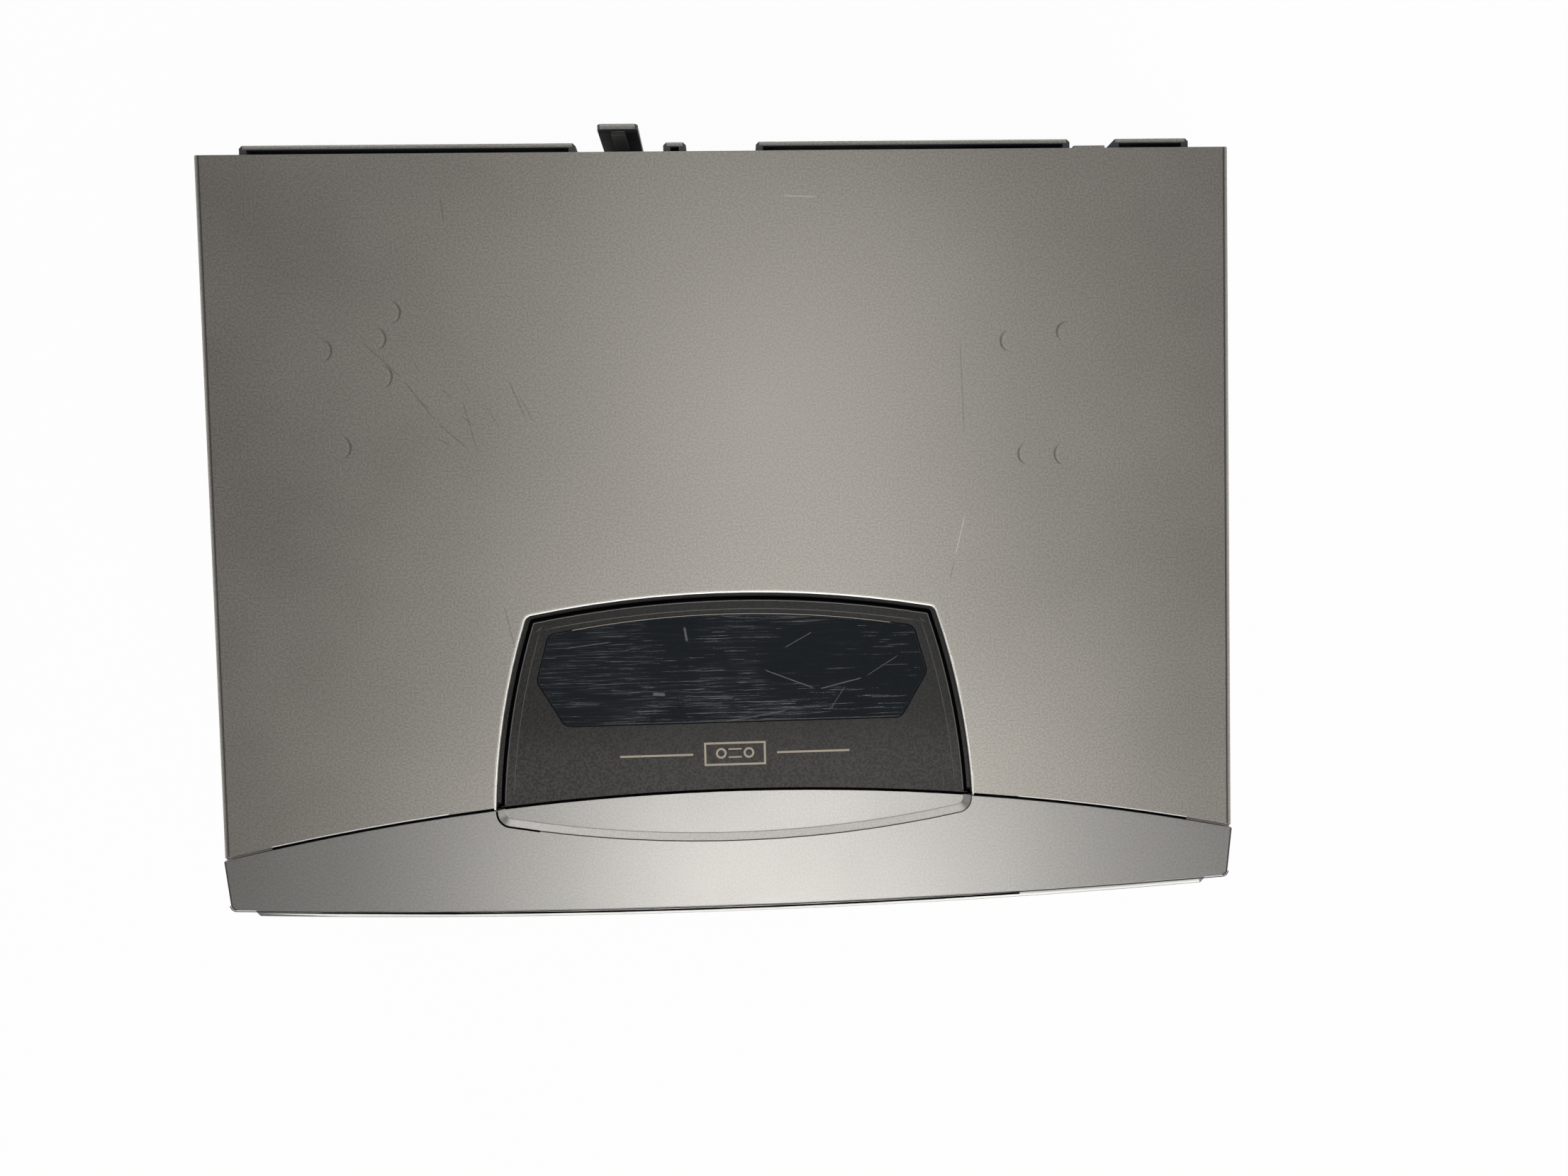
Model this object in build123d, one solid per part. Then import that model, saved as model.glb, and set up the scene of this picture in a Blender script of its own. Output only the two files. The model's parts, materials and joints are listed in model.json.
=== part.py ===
from build123d import *
import os
from math import acos, asin, atan2, cos, degrees, hypot, pi, radians, sin, sqrt, tan

# Video cassette recorder, seen from the front along +Y, in millimetres.
# The origin is under the middle of its whole box, and z = 0 is the table.

# Gaps and sheet
fit = 0.3  # gap between pieces that sit in one another
running = 0.05  # radial gap of a shaft in its bore
slip = 0.1  # gap of a sliding piece in its slot
sheet = 0.8
board_thick = 1.6

# Cassette
cassette_width = 188.0
cassette_height = 25.0

# Heights, from the table up
foot_height = 6.0
board_lift = 5.2  # lower plate to the lower boards
under_deck = 20.4  # lower boards to the deck
deck_thick = 1.6
holder_lift = 20.9  # deck to the raised holder
holder_wall = 1.0
cassette_clear = 0.7
headroom = 9.8  # raised holder to the cover's top
frame_z = foot_height + sheet
main_board_z = frame_z + board_lift
board_z1 = main_board_z + board_thick
deck_z = board_z1 + under_deck
deck_top = deck_z + deck_thick
holder_floor = deck_top + holder_lift
holder_room = cassette_height + cassette_clear
holder_top = holder_floor + holder_wall + holder_room + holder_wall
top_z = holder_top + headroom

# Cam gear and its motor, whose place sets the deck's depth
cam_module = 0.9
cam_teeth = 42
pinion_teeth = 12
pinion_angle = 60.0
cam_centre_distance = cam_module * (cam_teeth + pinion_teeth) / 2

# Depths, from the side joint of cover and bezel
front_reach = 26.3  # side joint to the foremost point of the fascia
holder_front = 14.0  # side joint to the holder
reel_back = 63.0  # holder's front edge to the reels
cam_back = 110.5  # reels to the cam gear
deck_margin = 15.0  # motor's axis to the deck's rear edge
rear_room = 19.5  # deck to the cover's rear edge
hook_reach = 14.3  # cord hook behind the cover
pinion_back = cam_centre_distance * sin(radians(pinion_angle))
cover_depth = holder_front + reel_back + cam_back + pinion_back + deck_margin + rear_room
overall_depth = front_reach + cover_depth + hook_reach
front_y = -overall_depth / 2
joint_y = front_y + front_reach
rear_y = joint_y + cover_depth
hook_y = rear_y + hook_reach
holder_y0 = joint_y + holder_front
reel_y = holder_y0 + reel_back

# Cover
body_width = 360.0
cover_bend = 1.5
cover_lift = 2.5  # cover's lower edge above the feet
seam_rise = 19.0  # how far the seam bows back at the middle
seam_gap = 1.0
flange_drop = 4.0
relief_inset = 9.0  # the front flange ends this far from the sides
half = body_width / 2
relief_half = half - relief_inset
seam_mid_y = joint_y + seam_rise
seam_radius = (half**2 + seam_rise**2) / (2 * seam_rise)

# Viewer in the cover
viewer_depth = 70.0  # seam to the viewer's rear edge, on the middle line
viewer_rear_half = 72.2
viewer_front_half = 84.9
viewer_crown = 6.7  # rise of the rear edge at its middle
viewer_side_bow = 2.5
viewer_lip = 2.0
viewer_roll = 1.1  # radius of the cover's edge round the viewer
viewer_sink = 2.0
viewer_gap = 1.4
viewer_plate = 2.5
viewer_flange = 8.0
viewer_rear_y = seam_mid_y + viewer_depth
lens_rear_half = 65.0
lens_wide_half = 69.6
lens_front_half = 60.0
lens_inset = 7.5  # viewer's rear edge to the lens
lens_depth = 38.8
lens_crown = 5.9
lens_shoulder = 16.6
lens_thick = 1.4
lens_ledge = 2.0

# Bezel and its recess
bezel_wall = 2.5
bezel_taper = 2.0
bezel_crown = 4.5
bezel_setback = 3.3  # bezel's front edge behind the fascia's
bezel_foot = 2.0  # bezel's lower edge above the feet
recess_half = 84.2
recess_depth = 2.0
recess_reach = 18.5  # seam to the recess's foremost point
recess_crown = 8.3
recess_slope = 2.4
tray_wall = 1.5
bezel_z = foot_height + bezel_foot

# Fascia
fascia_inset = 9.0  # fascia's ends inside the case's sides
fascia_crown = 4.5
fascia_wall = 2.5
fascia_rim = 1.5
fascia_top_drop = 3.5
fascia_skirt = 7.0
fascia_half = half - fascia_inset
fascia_radius = (fascia_half**2 + fascia_crown**2) / (2 * fascia_crown)
fascia_z0 = bezel_z + bezel_wall + fit
fascia_z1 = top_z - fascia_top_drop

# Deck plate
deck_half = 112.0
deck_front = 10.5  # side joint to the deck's front edge
deck_y0 = joint_y + deck_front
deck_y1 = rear_y - rear_room

# Cassette holder and loader
holder_clear = 0.5
holder_depth = 58.0
holder_travel = 61.0
holder_drop = 14.5
ledge_width = 20.5
pin_r = 1.6
pin_lift = 10.5  # holder's floor to its pins
pin_inset = (18.0, 46.0)  # holder's front edge to its two pins
bracket_gap = 2.5
bracket_thick = 1.2
bracket_drop = 0.2  # brackets' top under the holder's
bracket_depth = 134.0
bracket_front = 2.5  # brackets reach this far in front of the holder
slide_thick = 1.5
slide_drop = 8.5  # slides' lower edge under the holder's floor
slide_front = 6.0
slide_depth = 58.0
guide_pin_r = 1.5
guide_pin_drop = 4.0
guide_pin_inset = (8.0, 50.0)
holder_half = cassette_width / 2 + holder_clear + holder_wall
bracket_x = holder_half + bracket_gap
bracket_y0 = holder_y0 - bracket_front
bracket_top = holder_top - bracket_drop
pin_z = holder_floor + pin_lift
guide_pin_z = bracket_top - guide_pin_drop
slide_x = bracket_x + bracket_thick + fit
slide_outer = slide_x + slide_thick
slide_y0 = holder_y0 + slide_front
slide_y1 = slide_y0 + slide_depth
slide_z0 = holder_floor - slide_drop
holder_pin_ys = [holder_y0 + inset for inset in pin_inset]
guide_pin_ys = [slide_y0 + inset for inset in guide_pin_inset]

# Loading rack and gear
pressure = 25.0
rack_module = 0.8
rack_teeth = 12
rack_reserve = 4.0
rack_lead = 33.0  # middle of the slides to the gear
loading_gear_width = 3.6
backlash = 0.15
loading_bore_r = 1.5
rack_pitch_r = rack_module * rack_teeth / 2
rack_pitch_z = slide_z0 - 1.25 * rack_module
loading_y = (slide_y0 + slide_y1) / 2 + rack_lead
loading_z = rack_pitch_z - rack_pitch_r

# Cassette door
door_margin = 3.8  # door past each end of the cassette
door_sill = 0.8  # door's lower edge under the holder
door_head = 3.0  # fascia's top edge to the door
door_thick = 2.0
door_gap = 0.7
door_barrel_r = 1.6
door_pin_r = 1.2
door_pin_reach = 3.0
door_pin_lift = 1.2
door_shelf = 1.5
spring_room = 8.0
spring_wire = 0.4
spring_clear = 0.15
spring_turns = 5
ear_thick = 2.5
ear_gap = 1.2
door_half = cassette_width / 2 + door_margin
door_z0 = holder_floor - door_sill
door_z1 = fascia_z1 - door_head
door_bow = fascia_radius - sqrt(fascia_radius**2 - door_half**2)
door_axis_y = front_y + door_bow + fascia_wall + door_pin_r + spring_clear + spring_wire + slip
door_axis_z = door_z1 + door_pin_lift

# Front flap over the jacks
flap_margin = 11.0  # fascia's left end to the flap
flap_width = 76.0
flap_lift = 3.2  # fascia's lower edge to the flap
flap_height = 30.0
flap_thick = 2.0
flap_gap = 0.5
flap_pin_r = 0.8
flap_pin_reach = 1.5
flap_x0 = -fascia_half + flap_margin
flap_x1 = flap_x0 + flap_width
flap_z0 = fascia_z0 + flap_lift
flap_z1 = flap_z0 + flap_height

# Buttons
key_margin = 12.0  # fascia's right end to the last key
key_width = 18.0
key_height = 10.0
key_pitch = 22.0
key_lift = 27.2  # fascia's lower edge to the middle of the keys
small_width = 14.0
small_height = 7.0
small_lift = 11.2
record_width = 12.0
large_width = 22.0
large_inset = 36.0  # fascia's ends to the middle of the large keys
large_drop = 18.5
button_travel = 0.8
button_proud = 1.0
button_gap = 0.3
button_flange = 1.5
button_flange_thick = 1.2
stem_size = 4.0
switch_size = 6.0
switch_height = 3.0
key_x3 = fascia_half - key_margin - key_width / 2
key_x2 = key_x3 - key_pitch
key_x1 = key_x2 - key_pitch
key_x0 = key_x1 - key_pitch
key_z = fascia_z0 + key_lift
small_z = fascia_z0 + small_lift
large_x = fascia_half - large_inset
large_z = fascia_z1 - large_drop
# name: x, z, width and height
buttons = {
    "power_button": (-large_x, large_z, large_width, key_height),
    "eject_button": (large_x, large_z, large_width, key_height),
    "rewind_button": (key_x0, key_z, key_width, key_height),
    "play_button": (key_x1, key_z, key_width, key_height),
    "forward_button": (key_x2, key_z, key_width, key_height),
    "stop_button": (key_x3, key_z, key_width, key_height),
    "record_button": (key_x0, small_z, record_width, small_height),
    "channel_down_button": ((key_x1 + key_x2) / 2, small_z, small_width, small_height),
    "channel_up_button": ((key_x2 + key_x3) / 2, small_z, small_width, small_height),
}

# Display window
window_margin = 13.0  # window to the first key
window_lift = 17.2
window_height = 20.0
tube_inset = 17.0
tube_height = 13.0
tube_depth = 7.0
window_half = key_x0 - key_width / 2 - window_margin
window_z0 = fascia_z0 + window_lift
window_z1 = window_z0 + window_height
tube_half = window_half - tube_inset
tube_z0 = (window_z0 + window_z1 - tube_height) / 2

# Front board
front_board_back = 15.8  # foremost point of the fascia to the board
front_board_lift = 2.2
front_board_height = 41.0
front_board_inset = 6.0
wing_gap = 3.0
wing_drop = 8.5
front_board_y = front_y + front_board_back
front_board_z0 = fascia_z0 + front_board_lift
front_board_z1 = front_board_z0 + front_board_height
front_board_half = fascia_half - front_board_inset
front_wing_x = door_half + ear_gap + ear_thick + wing_gap
front_wing_top = fascia_z1 - wing_drop

# Round phono jacks
jack_r = 4.15
jack_bore_r = 3.3
jack_pitch = 20.0
jack_row = 22.0
jack_plate = 2.0

# Rear panel
panel_thick = 2.0
panel_sink = 1.0
pad_wall = 1.5
pad_reach = 4.3
pad_top_drop = 4.0
pad_low_z = frame_z + 39.2
jack_pad_low_z = frame_z + 17.2
pad_slant = 3.5
left_pad = (-half + 14.0, -50.5)
small_pad = (-20.0, -12.0)
jack_pad = (12.5, half - 55.8)
aerial_pad = (half - 43.0, half - 13.0)
slot_width = 2.5
slot_pitch = 6.0
panel_y1 = rear_y - panel_sink
panel_y0 = panel_y1 - panel_thick
pad_y1 = rear_y + pad_reach
pad_top = top_z - pad_top_drop
tab_inset = 50.0
tab_width = 11.0
tab_drop = 16.0
tab_x = half - tab_inset

# Cord hook
hook_x = -36.7
hook_width = 14.5
hook_thick = 2.0
hook_rib = 5.0
hook_rib_proud = 1.0
hook_rib_height = 19.0
hook_lift = 23.2
hook_drop = 14.0
hook_corner = 1.5
hook_z0 = frame_z + hook_lift
hook_z1 = top_z - hook_drop

# Rear sockets
rear_jack_xs = (36.0, 36.0 + jack_pitch, 36.0 + 2 * jack_pitch)
rear_jack_zs = (frame_z + 31.2, frame_z + 31.2 + jack_row)
rear_jack_margin = 12.0
rear_jack_tip_y = pad_y1 + 1.2
aerial_inset = 28.0
aerial_zs = (frame_z + 31.2, frame_z + 61.2)
aerial_r = 4.8
aerial_bore_r = 3.5
aerial_reach = 11.0  # panel's inner face to the sockets' ends
tuner_width = 26.0
tuner_depth = 63.0
tuner_drop = 8.4  # cover's top to the tuner
select_z = (aerial_zs[0] + aerial_zs[1]) / 2
select_travel = 3.0
select_width = 3.6
select_height = 3.0
aerial_x = half - aerial_inset
inlet_inset = 40.0
inlet_width = 24.0
inlet_height = 17.0
inlet_flange = 3.0
inlet_depth = 18.0
inlet_hole_depth = 13.0
inlet_lobe_r = 4.2
inlet_pin_pitch = 8.6
inlet_pin_r = 1.2
inlet_x = -half + inlet_inset
inlet_z = frame_z + 24.2

# Lower case
frame_wall = 2.2
frame_height = 19.2
frame_ledge = 12.0
rib_width = 12.0
rib_thick = 2.0
rib_ys = (joint_y + 27.5, joint_y + 115.5, joint_y + 207.5)
post_inset = 8.0  # deck's sides to the posts under it
post_r = 4.0
boss_r = 3.0
foot_r = 10.0
foot_side = 40.0
foot_inset = 22.0
foot_peg_r = 3.0
foot_peg_height = 2.6
post_x = deck_half - post_inset
foot_x = half - foot_side
frame_half = half - sheet - fit
screw_r = 1.5
screw_head_r = 3.5
screw_head = 1.6
screw_length = 8.0

# Power supply
power_gap = 6.0  # deck to the supply board
power_back = 95.5  # side joint to the supply board
power_depth = 130.0
transformer_size = (36.0, 40.0, 30.0)
power_x0 = -half + 8.0
power_x1 = -deck_half - power_gap
power_y0 = joint_y + power_back

# Drum
drum_back = 99.0  # reels to the drum
drum_r = 31.0
drum_tilt = 5.97
drum_lift = 8.4
drum_lower = 12.5
drum_upper = 14.0
drum_gap = 0.4
drum_shaft_r = 3.0
drum_pedestal_r = 19.0
rotor_r = 22.0
rotor_thick = 4.0
rotor_drop = 17.0
drum_y = reel_y + drum_back
drum_seat_z = deck_top + drum_lift

# Tape path above the deck
tape_low = 15.4  # deck to the lower edge of the roller
tape_high = 28.4
roller_z0 = deck_top + tape_low
roller_z1 = deck_top + tape_high
guide_top = roller_z1 + 1.0
tension_post_top = roller_z1 + 2.0
capstan_top = roller_z1 + 4.0
head_top = roller_z1 - 2.0

# Capstan and clutch
capstan_x = 56.0
capstan_r = 2.0
flywheel_r = 22.0
flywheel_drop = 12.0
flywheel_thick = 7.5
coil_drop = 5.0
capstan_pulley_r = 8.0
clutch_pulley_r = 16.0
belt_drop = 3.7
belt_height = 2.0
belt_thick = 1.0
pulley_rim = 1.2
drive_r = 14.8
drive_lift = 1.4
drive_thick = 4.0
capstan_y = drum_y - 28.5
clutch_y = reel_y + 24.5
flywheel_z = deck_z - flywheel_drop
belt_z = deck_z - belt_drop
drive_z = deck_top + drive_lift

# Reels and idler
reel_x = 46.0
reel_r = 22.0
spindle_r = 11.5
spindle_height = 20.0
reel_stud_r = 2.0
idler_wheel_r = 12.0
idler_stud_r = 1.5
idler_arm_thick = 1.2
spindle_top = drive_z + spindle_height

# Pinch roller
pinch_swing = 30.0
pinch_length = 35.0
roller_r = 9.0
pinch_x = capstan_x + capstan_r + roller_r + fit
pinch_y = capstan_y + pinch_length

# Tension arm
tension_x = -84.0
tension_y = reel_y + 72.5
tension_length = 31.05
tension_angle = -14.9

# Guides
guide_start = (26.0, reel_y + 46.5)
guide_centre = (37.8, drum_y - 4.2)
guide_sweep = 41.2
guide_base_r = 7.0
guide_slot = 6.0
guide_post_r = 3.0
guide_radius = hypot(guide_start[0] + guide_centre[0], guide_start[1] - guide_centre[1])

# Cam gear and its motor
cam_x = -82.0
cam_thick = 4.0
cam_stud_r = 2.0
motor_r = 11.5
motor_clear = 1.8  # motor's foot above the main board
motor_shaft_r = 1.0
cam_y = reel_y + cam_back
motor_height = under_deck - motor_clear
pinion_x = cam_x + cam_centre_distance * cos(radians(pinion_angle))
pinion_y = cam_y + pinion_back


def block(x0, x1, y0, y1, z0, z1):
    """Box between two corners."""
    return Pos((x0 + x1) / 2, (y0 + y1) / 2, (z0 + z1) / 2) * Box(x1 - x0, y1 - y0, z1 - z0)


def post(x, y, z0, z1, radius):
    """Upright cylinder."""
    return Pos(x, y, (z0 + z1) / 2) * Cylinder(radius, z1 - z0)


def pin_along_x(x0, x1, y, z, radius):
    """Cylinder along X."""
    return Pos((x0 + x1) / 2, y, z) * Rot(0, 90, 0) * Cylinder(radius, x1 - x0)


def pin_along_y(x, y0, y1, z, radius):
    """Cylinder along Y."""
    return Pos(x, (y0 + y1) / 2, z) * Rot(90, 0, 0) * Cylinder(radius, y1 - y0)


def raise_face(face, z0, z1):
    """Upright prism over a flat outline."""
    return extrude(Pos(0, 0, z0) * face, amount=z1 - z0, dir=(0, 0, 1))


def mirrored(solid):
    """Copy on the other side of the middle plane."""
    return mirror(solid, about=Plane.YZ)


def outline(*edges):
    """Flat face inside a closed run of edges."""
    return make_face(Wire(edges))


def seam_y(x, shift=0.0):
    """Y of the seam arc at x, moved forward by shift."""
    return seam_mid_y - seam_radius + sqrt(seam_radius**2 - x**2) - shift


def seam_front(shift):
    """Everything in front of the seam, as a flat face."""
    reach = half + 5.0
    side_y = seam_y(reach, shift)
    arc = ThreePointArc((-reach, side_y), (0, seam_y(0, shift)), (reach, side_y))
    front = front_y - 20.0
    corners = Polyline((reach, side_y), (reach, front), (-reach, front), (-reach, side_y))
    return outline(arc, *corners.edges())


def fascia_y(x):
    """Y of the fascia's front surface at x."""
    return front_y + fascia_radius - sqrt(fascia_radius**2 - x**2)


def bowed_face(half_width, depth0, depth1):
    """Flat region between two arcs parallel to the fascia's front."""
    side = half_width
    end0 = fascia_y(side) + depth0
    end1 = fascia_y(side) + depth1
    front = ThreePointArc((-side, end0), (0, front_y + depth0), (side, end0))
    back = ThreePointArc((side, end1), (0, front_y + depth1), (-side, end1))
    right = Line((side, end0), (side, end1))
    left = Line((-side, end1), (-side, end0))
    return outline(front, right, back, left)


def bowed_plate(half_width, depth0, depth1, z0, z1):
    """Plate that follows the fascia's bow."""
    return raise_face(bowed_face(half_width, depth0, depth1), z0, z1)


def viewer_outline():
    """Notch that the cover leaves for the viewer, run on past the seam."""
    corner_y = viewer_rear_y - viewer_crown
    front = seam_y(viewer_front_half) - seam_gap
    middle = ((viewer_rear_half + viewer_front_half) / 2 + viewer_side_bow, (corner_y + front) / 2)
    rear = ThreePointArc((-viewer_rear_half, corner_y), (0, viewer_rear_y), (viewer_rear_half, corner_y))
    right = ThreePointArc((viewer_rear_half, corner_y), middle, (viewer_front_half, front))
    left = ThreePointArc((-viewer_front_half, front), (-middle[0], middle[1]), (-viewer_rear_half, corner_y))
    nose = Polyline(
        (viewer_front_half, front),
        (viewer_front_half, front - 15.0),
        (-viewer_front_half, front - 15.0),
        (-viewer_front_half, front),
    )
    face = outline(rear, right, *nose.edges(), left)
    corners = face.vertices().sort_by(Axis.Y)[-2:]
    return fillet(corners, 3.0)


def lens_outline():
    """Six-sided lens with rounded corners."""
    rear_y_mid = viewer_rear_y - lens_inset
    corner_y = rear_y_mid - lens_crown
    wide_y = corner_y - lens_shoulder
    front = rear_y_mid - lens_depth
    rear = ThreePointArc((-lens_rear_half, corner_y), (0, rear_y_mid), (lens_rear_half, corner_y))
    rest = Polyline(
        (lens_rear_half, corner_y),
        (lens_wide_half, wide_y),
        (lens_front_half, front),
        (-lens_front_half, front),
        (-lens_wide_half, wide_y),
        (-lens_rear_half, corner_y),
    )
    face = outline(rear, *rest.edges())
    return fillet(face.vertices(), 3.5)


def recess_outline():
    """Shallow recess of the bezel, run back past the seam."""
    front = seam_mid_y - recess_reach
    side_y = front + recess_crown
    arc = ThreePointArc((-recess_half, side_y), (0, front), (recess_half, side_y))
    back = seam_mid_y + 10.0
    flare = recess_half + 1.0
    rest = Polyline((recess_half, side_y), (flare, back), (-flare, back), (-recess_half, side_y))
    face = outline(arc, *rest.edges())
    corners = face.vertices().sort_by(Axis.Y)[:2]
    return fillet(corners, 5.0)


def bezel_outline():
    """Top view of the bezel."""
    front = front_y + bezel_setback
    corner_y = front + bezel_crown
    corner_x = half - bezel_taper
    side_y = joint_y - fit
    arc = ThreePointArc((-corner_x, corner_y), (0, front), (corner_x, corner_y))
    rest = Polyline(
        (corner_x, corner_y),
        (half, side_y),
        (half, seam_mid_y),
        (-half, seam_mid_y),
        (-half, side_y),
        (-corner_x, corner_y),
    )
    face = outline(arc, *rest.edges())
    corners = face.vertices().sort_by(Axis.Y)[:2]
    return fillet(corners, 2.0) & seam_front(seam_gap)


def gear_outline(module, teeth, bore_r):
    """Spur gear with involute flanks, one tooth centred on +X."""
    pitch_r = module * teeth / 2
    base_r = pitch_r * cos(radians(pressure))
    tip_r = pitch_r + module
    root_r = pitch_r - 1.25 * module
    start_r = max(base_r, root_r)
    pitch_half = pi / (2 * teeth) - backlash / 2 / pitch_r
    involute_pitch = tan(radians(pressure)) - radians(pressure)
    flank = []
    for step in range(4):
        radius = start_r + (tip_r - start_r) * step / 3
        roll = acos(min(1.0, base_r / radius))
        flank.append((radius, pitch_half + involute_pitch - (tan(roll) - roll)))
    if root_r < start_r:
        flank.insert(0, (root_r, flank[0][1]))
    points = []
    for tooth in range(teeth):
        middle = 2 * pi * tooth / teeth
        sides = [(radius, middle - angle) for radius, angle in flank]
        sides += [(radius, middle + angle) for radius, angle in flank[::-1]]
        points += [(radius * cos(angle), radius * sin(angle)) for radius, angle in sides]
    return make_face(Polyline(*points, close=True)) - Circle(bore_r)


def top_cover():
    """Folded sheet with a notch for the viewer and a tab for the rear screw."""
    low = foot_height + cover_lift
    shell = block(-half, half, joint_y, rear_y, low, top_z)
    shell = fillet(shell.edges().filter_by(Axis.Y).group_by(Axis.Z)[-1], cover_bend)
    room = block(-half + sheet, half - sheet, joint_y - 1, rear_y + 1, low - 1, top_z - sheet)
    room = fillet(room.edges().filter_by(Axis.Y).group_by(Axis.Z)[-1], cover_bend - sheet)
    cut_z = top_z - sheet - flange_drop - 1
    flat_half = half - cover_bend
    ahead = raise_face(seam_front(0), cut_z, top_z + 1)
    ahead &= block(-flat_half, flat_half, front_y, rear_y, 0, top_z + 1)
    shell = shell - room - ahead
    flange_z = top_z - sheet - flange_drop
    strip = seam_front(-sheet) - seam_front(0)
    flange = raise_face(strip, flange_z, top_z - sheet)
    flange &= block(-relief_half, relief_half, joint_y, rear_y, 0, top_z)
    notch = viewer_outline()
    lip = offset(notch, sheet, kind=Kind.INTERSECTION) - notch
    lip = raise_face(lip - seam_front(0), top_z - viewer_lip - sheet, top_z - sheet)
    shell = shell + flange - raise_face(notch, cut_z, top_z + 1) + lip
    top_edges = shell.edges().group_by(Axis.Z)[-1]
    shell = fillet([edge for edge in top_edges if round_viewer(edge, notch)], viewer_roll)
    wide = tab_width / 2
    tab = block(tab_x - wide, tab_x + wide, rear_y, rear_y + sheet, top_z - tab_drop, top_z)
    tab -= pin_along_y(tab_x, rear_y - 1, rear_y + 2, tab_screw_z(), screw_r + fit)
    return shell + tab


def round_viewer(edge, notch):
    """Whether an edge of the cover lies along the notch, behind the seam."""
    middle = edge @ 0.5
    flat = Vector(middle.X, middle.Y, 0)
    return middle.Y > seam_y(middle.X) + 0.5 and notch.distance_to(flat) < 0.01


def tab_screw_z():
    """Height of the screw in the cover's rear tab."""
    return top_z - tab_drop + 6.0


def front_bezel():
    """Moulded brow and cheeks round the fascia, with the shallow recess."""
    face = bezel_outline()
    inner = offset(face, -bezel_wall, kind=Kind.INTERSECTION)
    shell = raise_face(face, bezel_z, top_z)
    shell -= raise_face(inner, bezel_z + bezel_wall, top_z - bezel_wall)
    shell -= block(-half, half, joint_y - fit, rear_y, bezel_z - 1, top_z - bezel_wall)
    inner_half = half - bezel_wall
    shell -= block(-inner_half, inner_half, joint_y - 4, rear_y, bezel_z + bezel_wall, top_z - bezel_wall)
    reach = fascia_half + fit
    shell -= block(-reach, reach, front_y - 1, front_y + 15, bezel_z + bezel_wall, fascia_z1 + 0.5)
    recess = recess_outline()
    tray = offset(recess, tray_wall, kind=Kind.INTERSECTION) & face
    tray_z = top_z - recess_depth - tray_wall - 0.5
    shell += raise_face(tray, tray_z, top_z - bezel_wall)
    slope = degrees(atan2(recess_slope, recess_depth))
    sloped = extrude(Pos(0, 0, top_z) * recess, amount=-recess_depth, taper=slope)
    return shell - sloped


def plate_round(x, z, width, height, y0, y1):
    """Box of a width and height round a middle at x and z."""
    return block(x - width / 2, x + width / 2, y0, y1, z - height / 2, z + height / 2)


def flap_place():
    """Middle, turn and length of the flap's straight hinge line in the bowed fascia."""
    y0 = fascia_y(flap_x0)
    y1 = fascia_y(flap_x1)
    length = hypot(flap_x1 - flap_x0, y1 - y0)
    turn = degrees(asin((y1 - y0) / length))
    middle = ((flap_x0 + flap_x1) / 2, (y0 + y1) / 2 + flap_thick / 2)
    return middle, turn, length


def in_flap_frame(solid):
    """Moves a solid from the flap's own frame to the fascia."""
    middle, turn, length = flap_place()
    return Pos(middle[0], middle[1], flap_z0 + flap_gap + flap_thick / 2) * Rot(0, 0, turn) * solid


def front_fascia():
    """Front plate with the cassette mouth, window, flap and button openings."""
    plate = bowed_plate(fascia_half, 0, fascia_wall, fascia_z0, fascia_z1)
    plate = chamfer(plate.edges().filter_by(Axis.Z).sort_by(Axis.Y)[:2], 1.5)
    skirt = bowed_plate(fascia_half, fascia_wall - 0.5, fascia_skirt, fascia_z0, fascia_z1)
    inner = fascia_half - fascia_rim
    before = front_y - 2
    behind = front_y + 20
    skirt -= block(-inner, inner, before, behind, fascia_z0 + fascia_rim, fascia_z1 - fascia_rim)
    ear_x0 = door_half + ear_gap
    hinge_half = ear_x0 + ear_thick
    skirt -= block(-hinge_half, hinge_half, before, behind, fascia_z1 - fascia_rim - 1, fascia_z1 + 1)
    solid = plate + skirt
    mouth = door_half + door_gap
    solid -= block(-mouth, mouth, before, behind, door_z0 - door_gap, door_z1 + door_gap)
    solid -= block(-window_half, window_half, before, behind, window_z0, window_z1)
    for x, z, width, height in buttons.values():
        solid -= plate_round(x, z, width + 2 * button_gap, height + 2 * button_gap, before, behind)
    middle, turn, length = flap_place()
    tall = flap_z1 - flap_z0
    opening = Pos(0, 0, tall / 2 - flap_gap - flap_thick / 2) * Box(length, 14, tall)
    solid -= in_flap_frame(opening)
    ear_z0 = door_axis_z - 3.0
    ear_top = fascia_z1 - 0.1
    for side in (-1, 1):
        xs = sorted((side * ear_x0, side * (ear_x0 + ear_thick)))
        ear = block(xs[0], xs[1], fascia_y(ear_x0) + 1.5, door_axis_y + 3.0, ear_z0, ear_top)
        solid += ear - pin_along_x(xs[0] - 1, xs[1] + 1, door_axis_y, door_axis_z, door_pin_r + running)
    pin_hole = Cylinder(flap_pin_r + running, length + 2 * flap_pin_reach + 1)
    return solid - in_flap_frame(Rot(0, 90, 0) * pin_hole)


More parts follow.
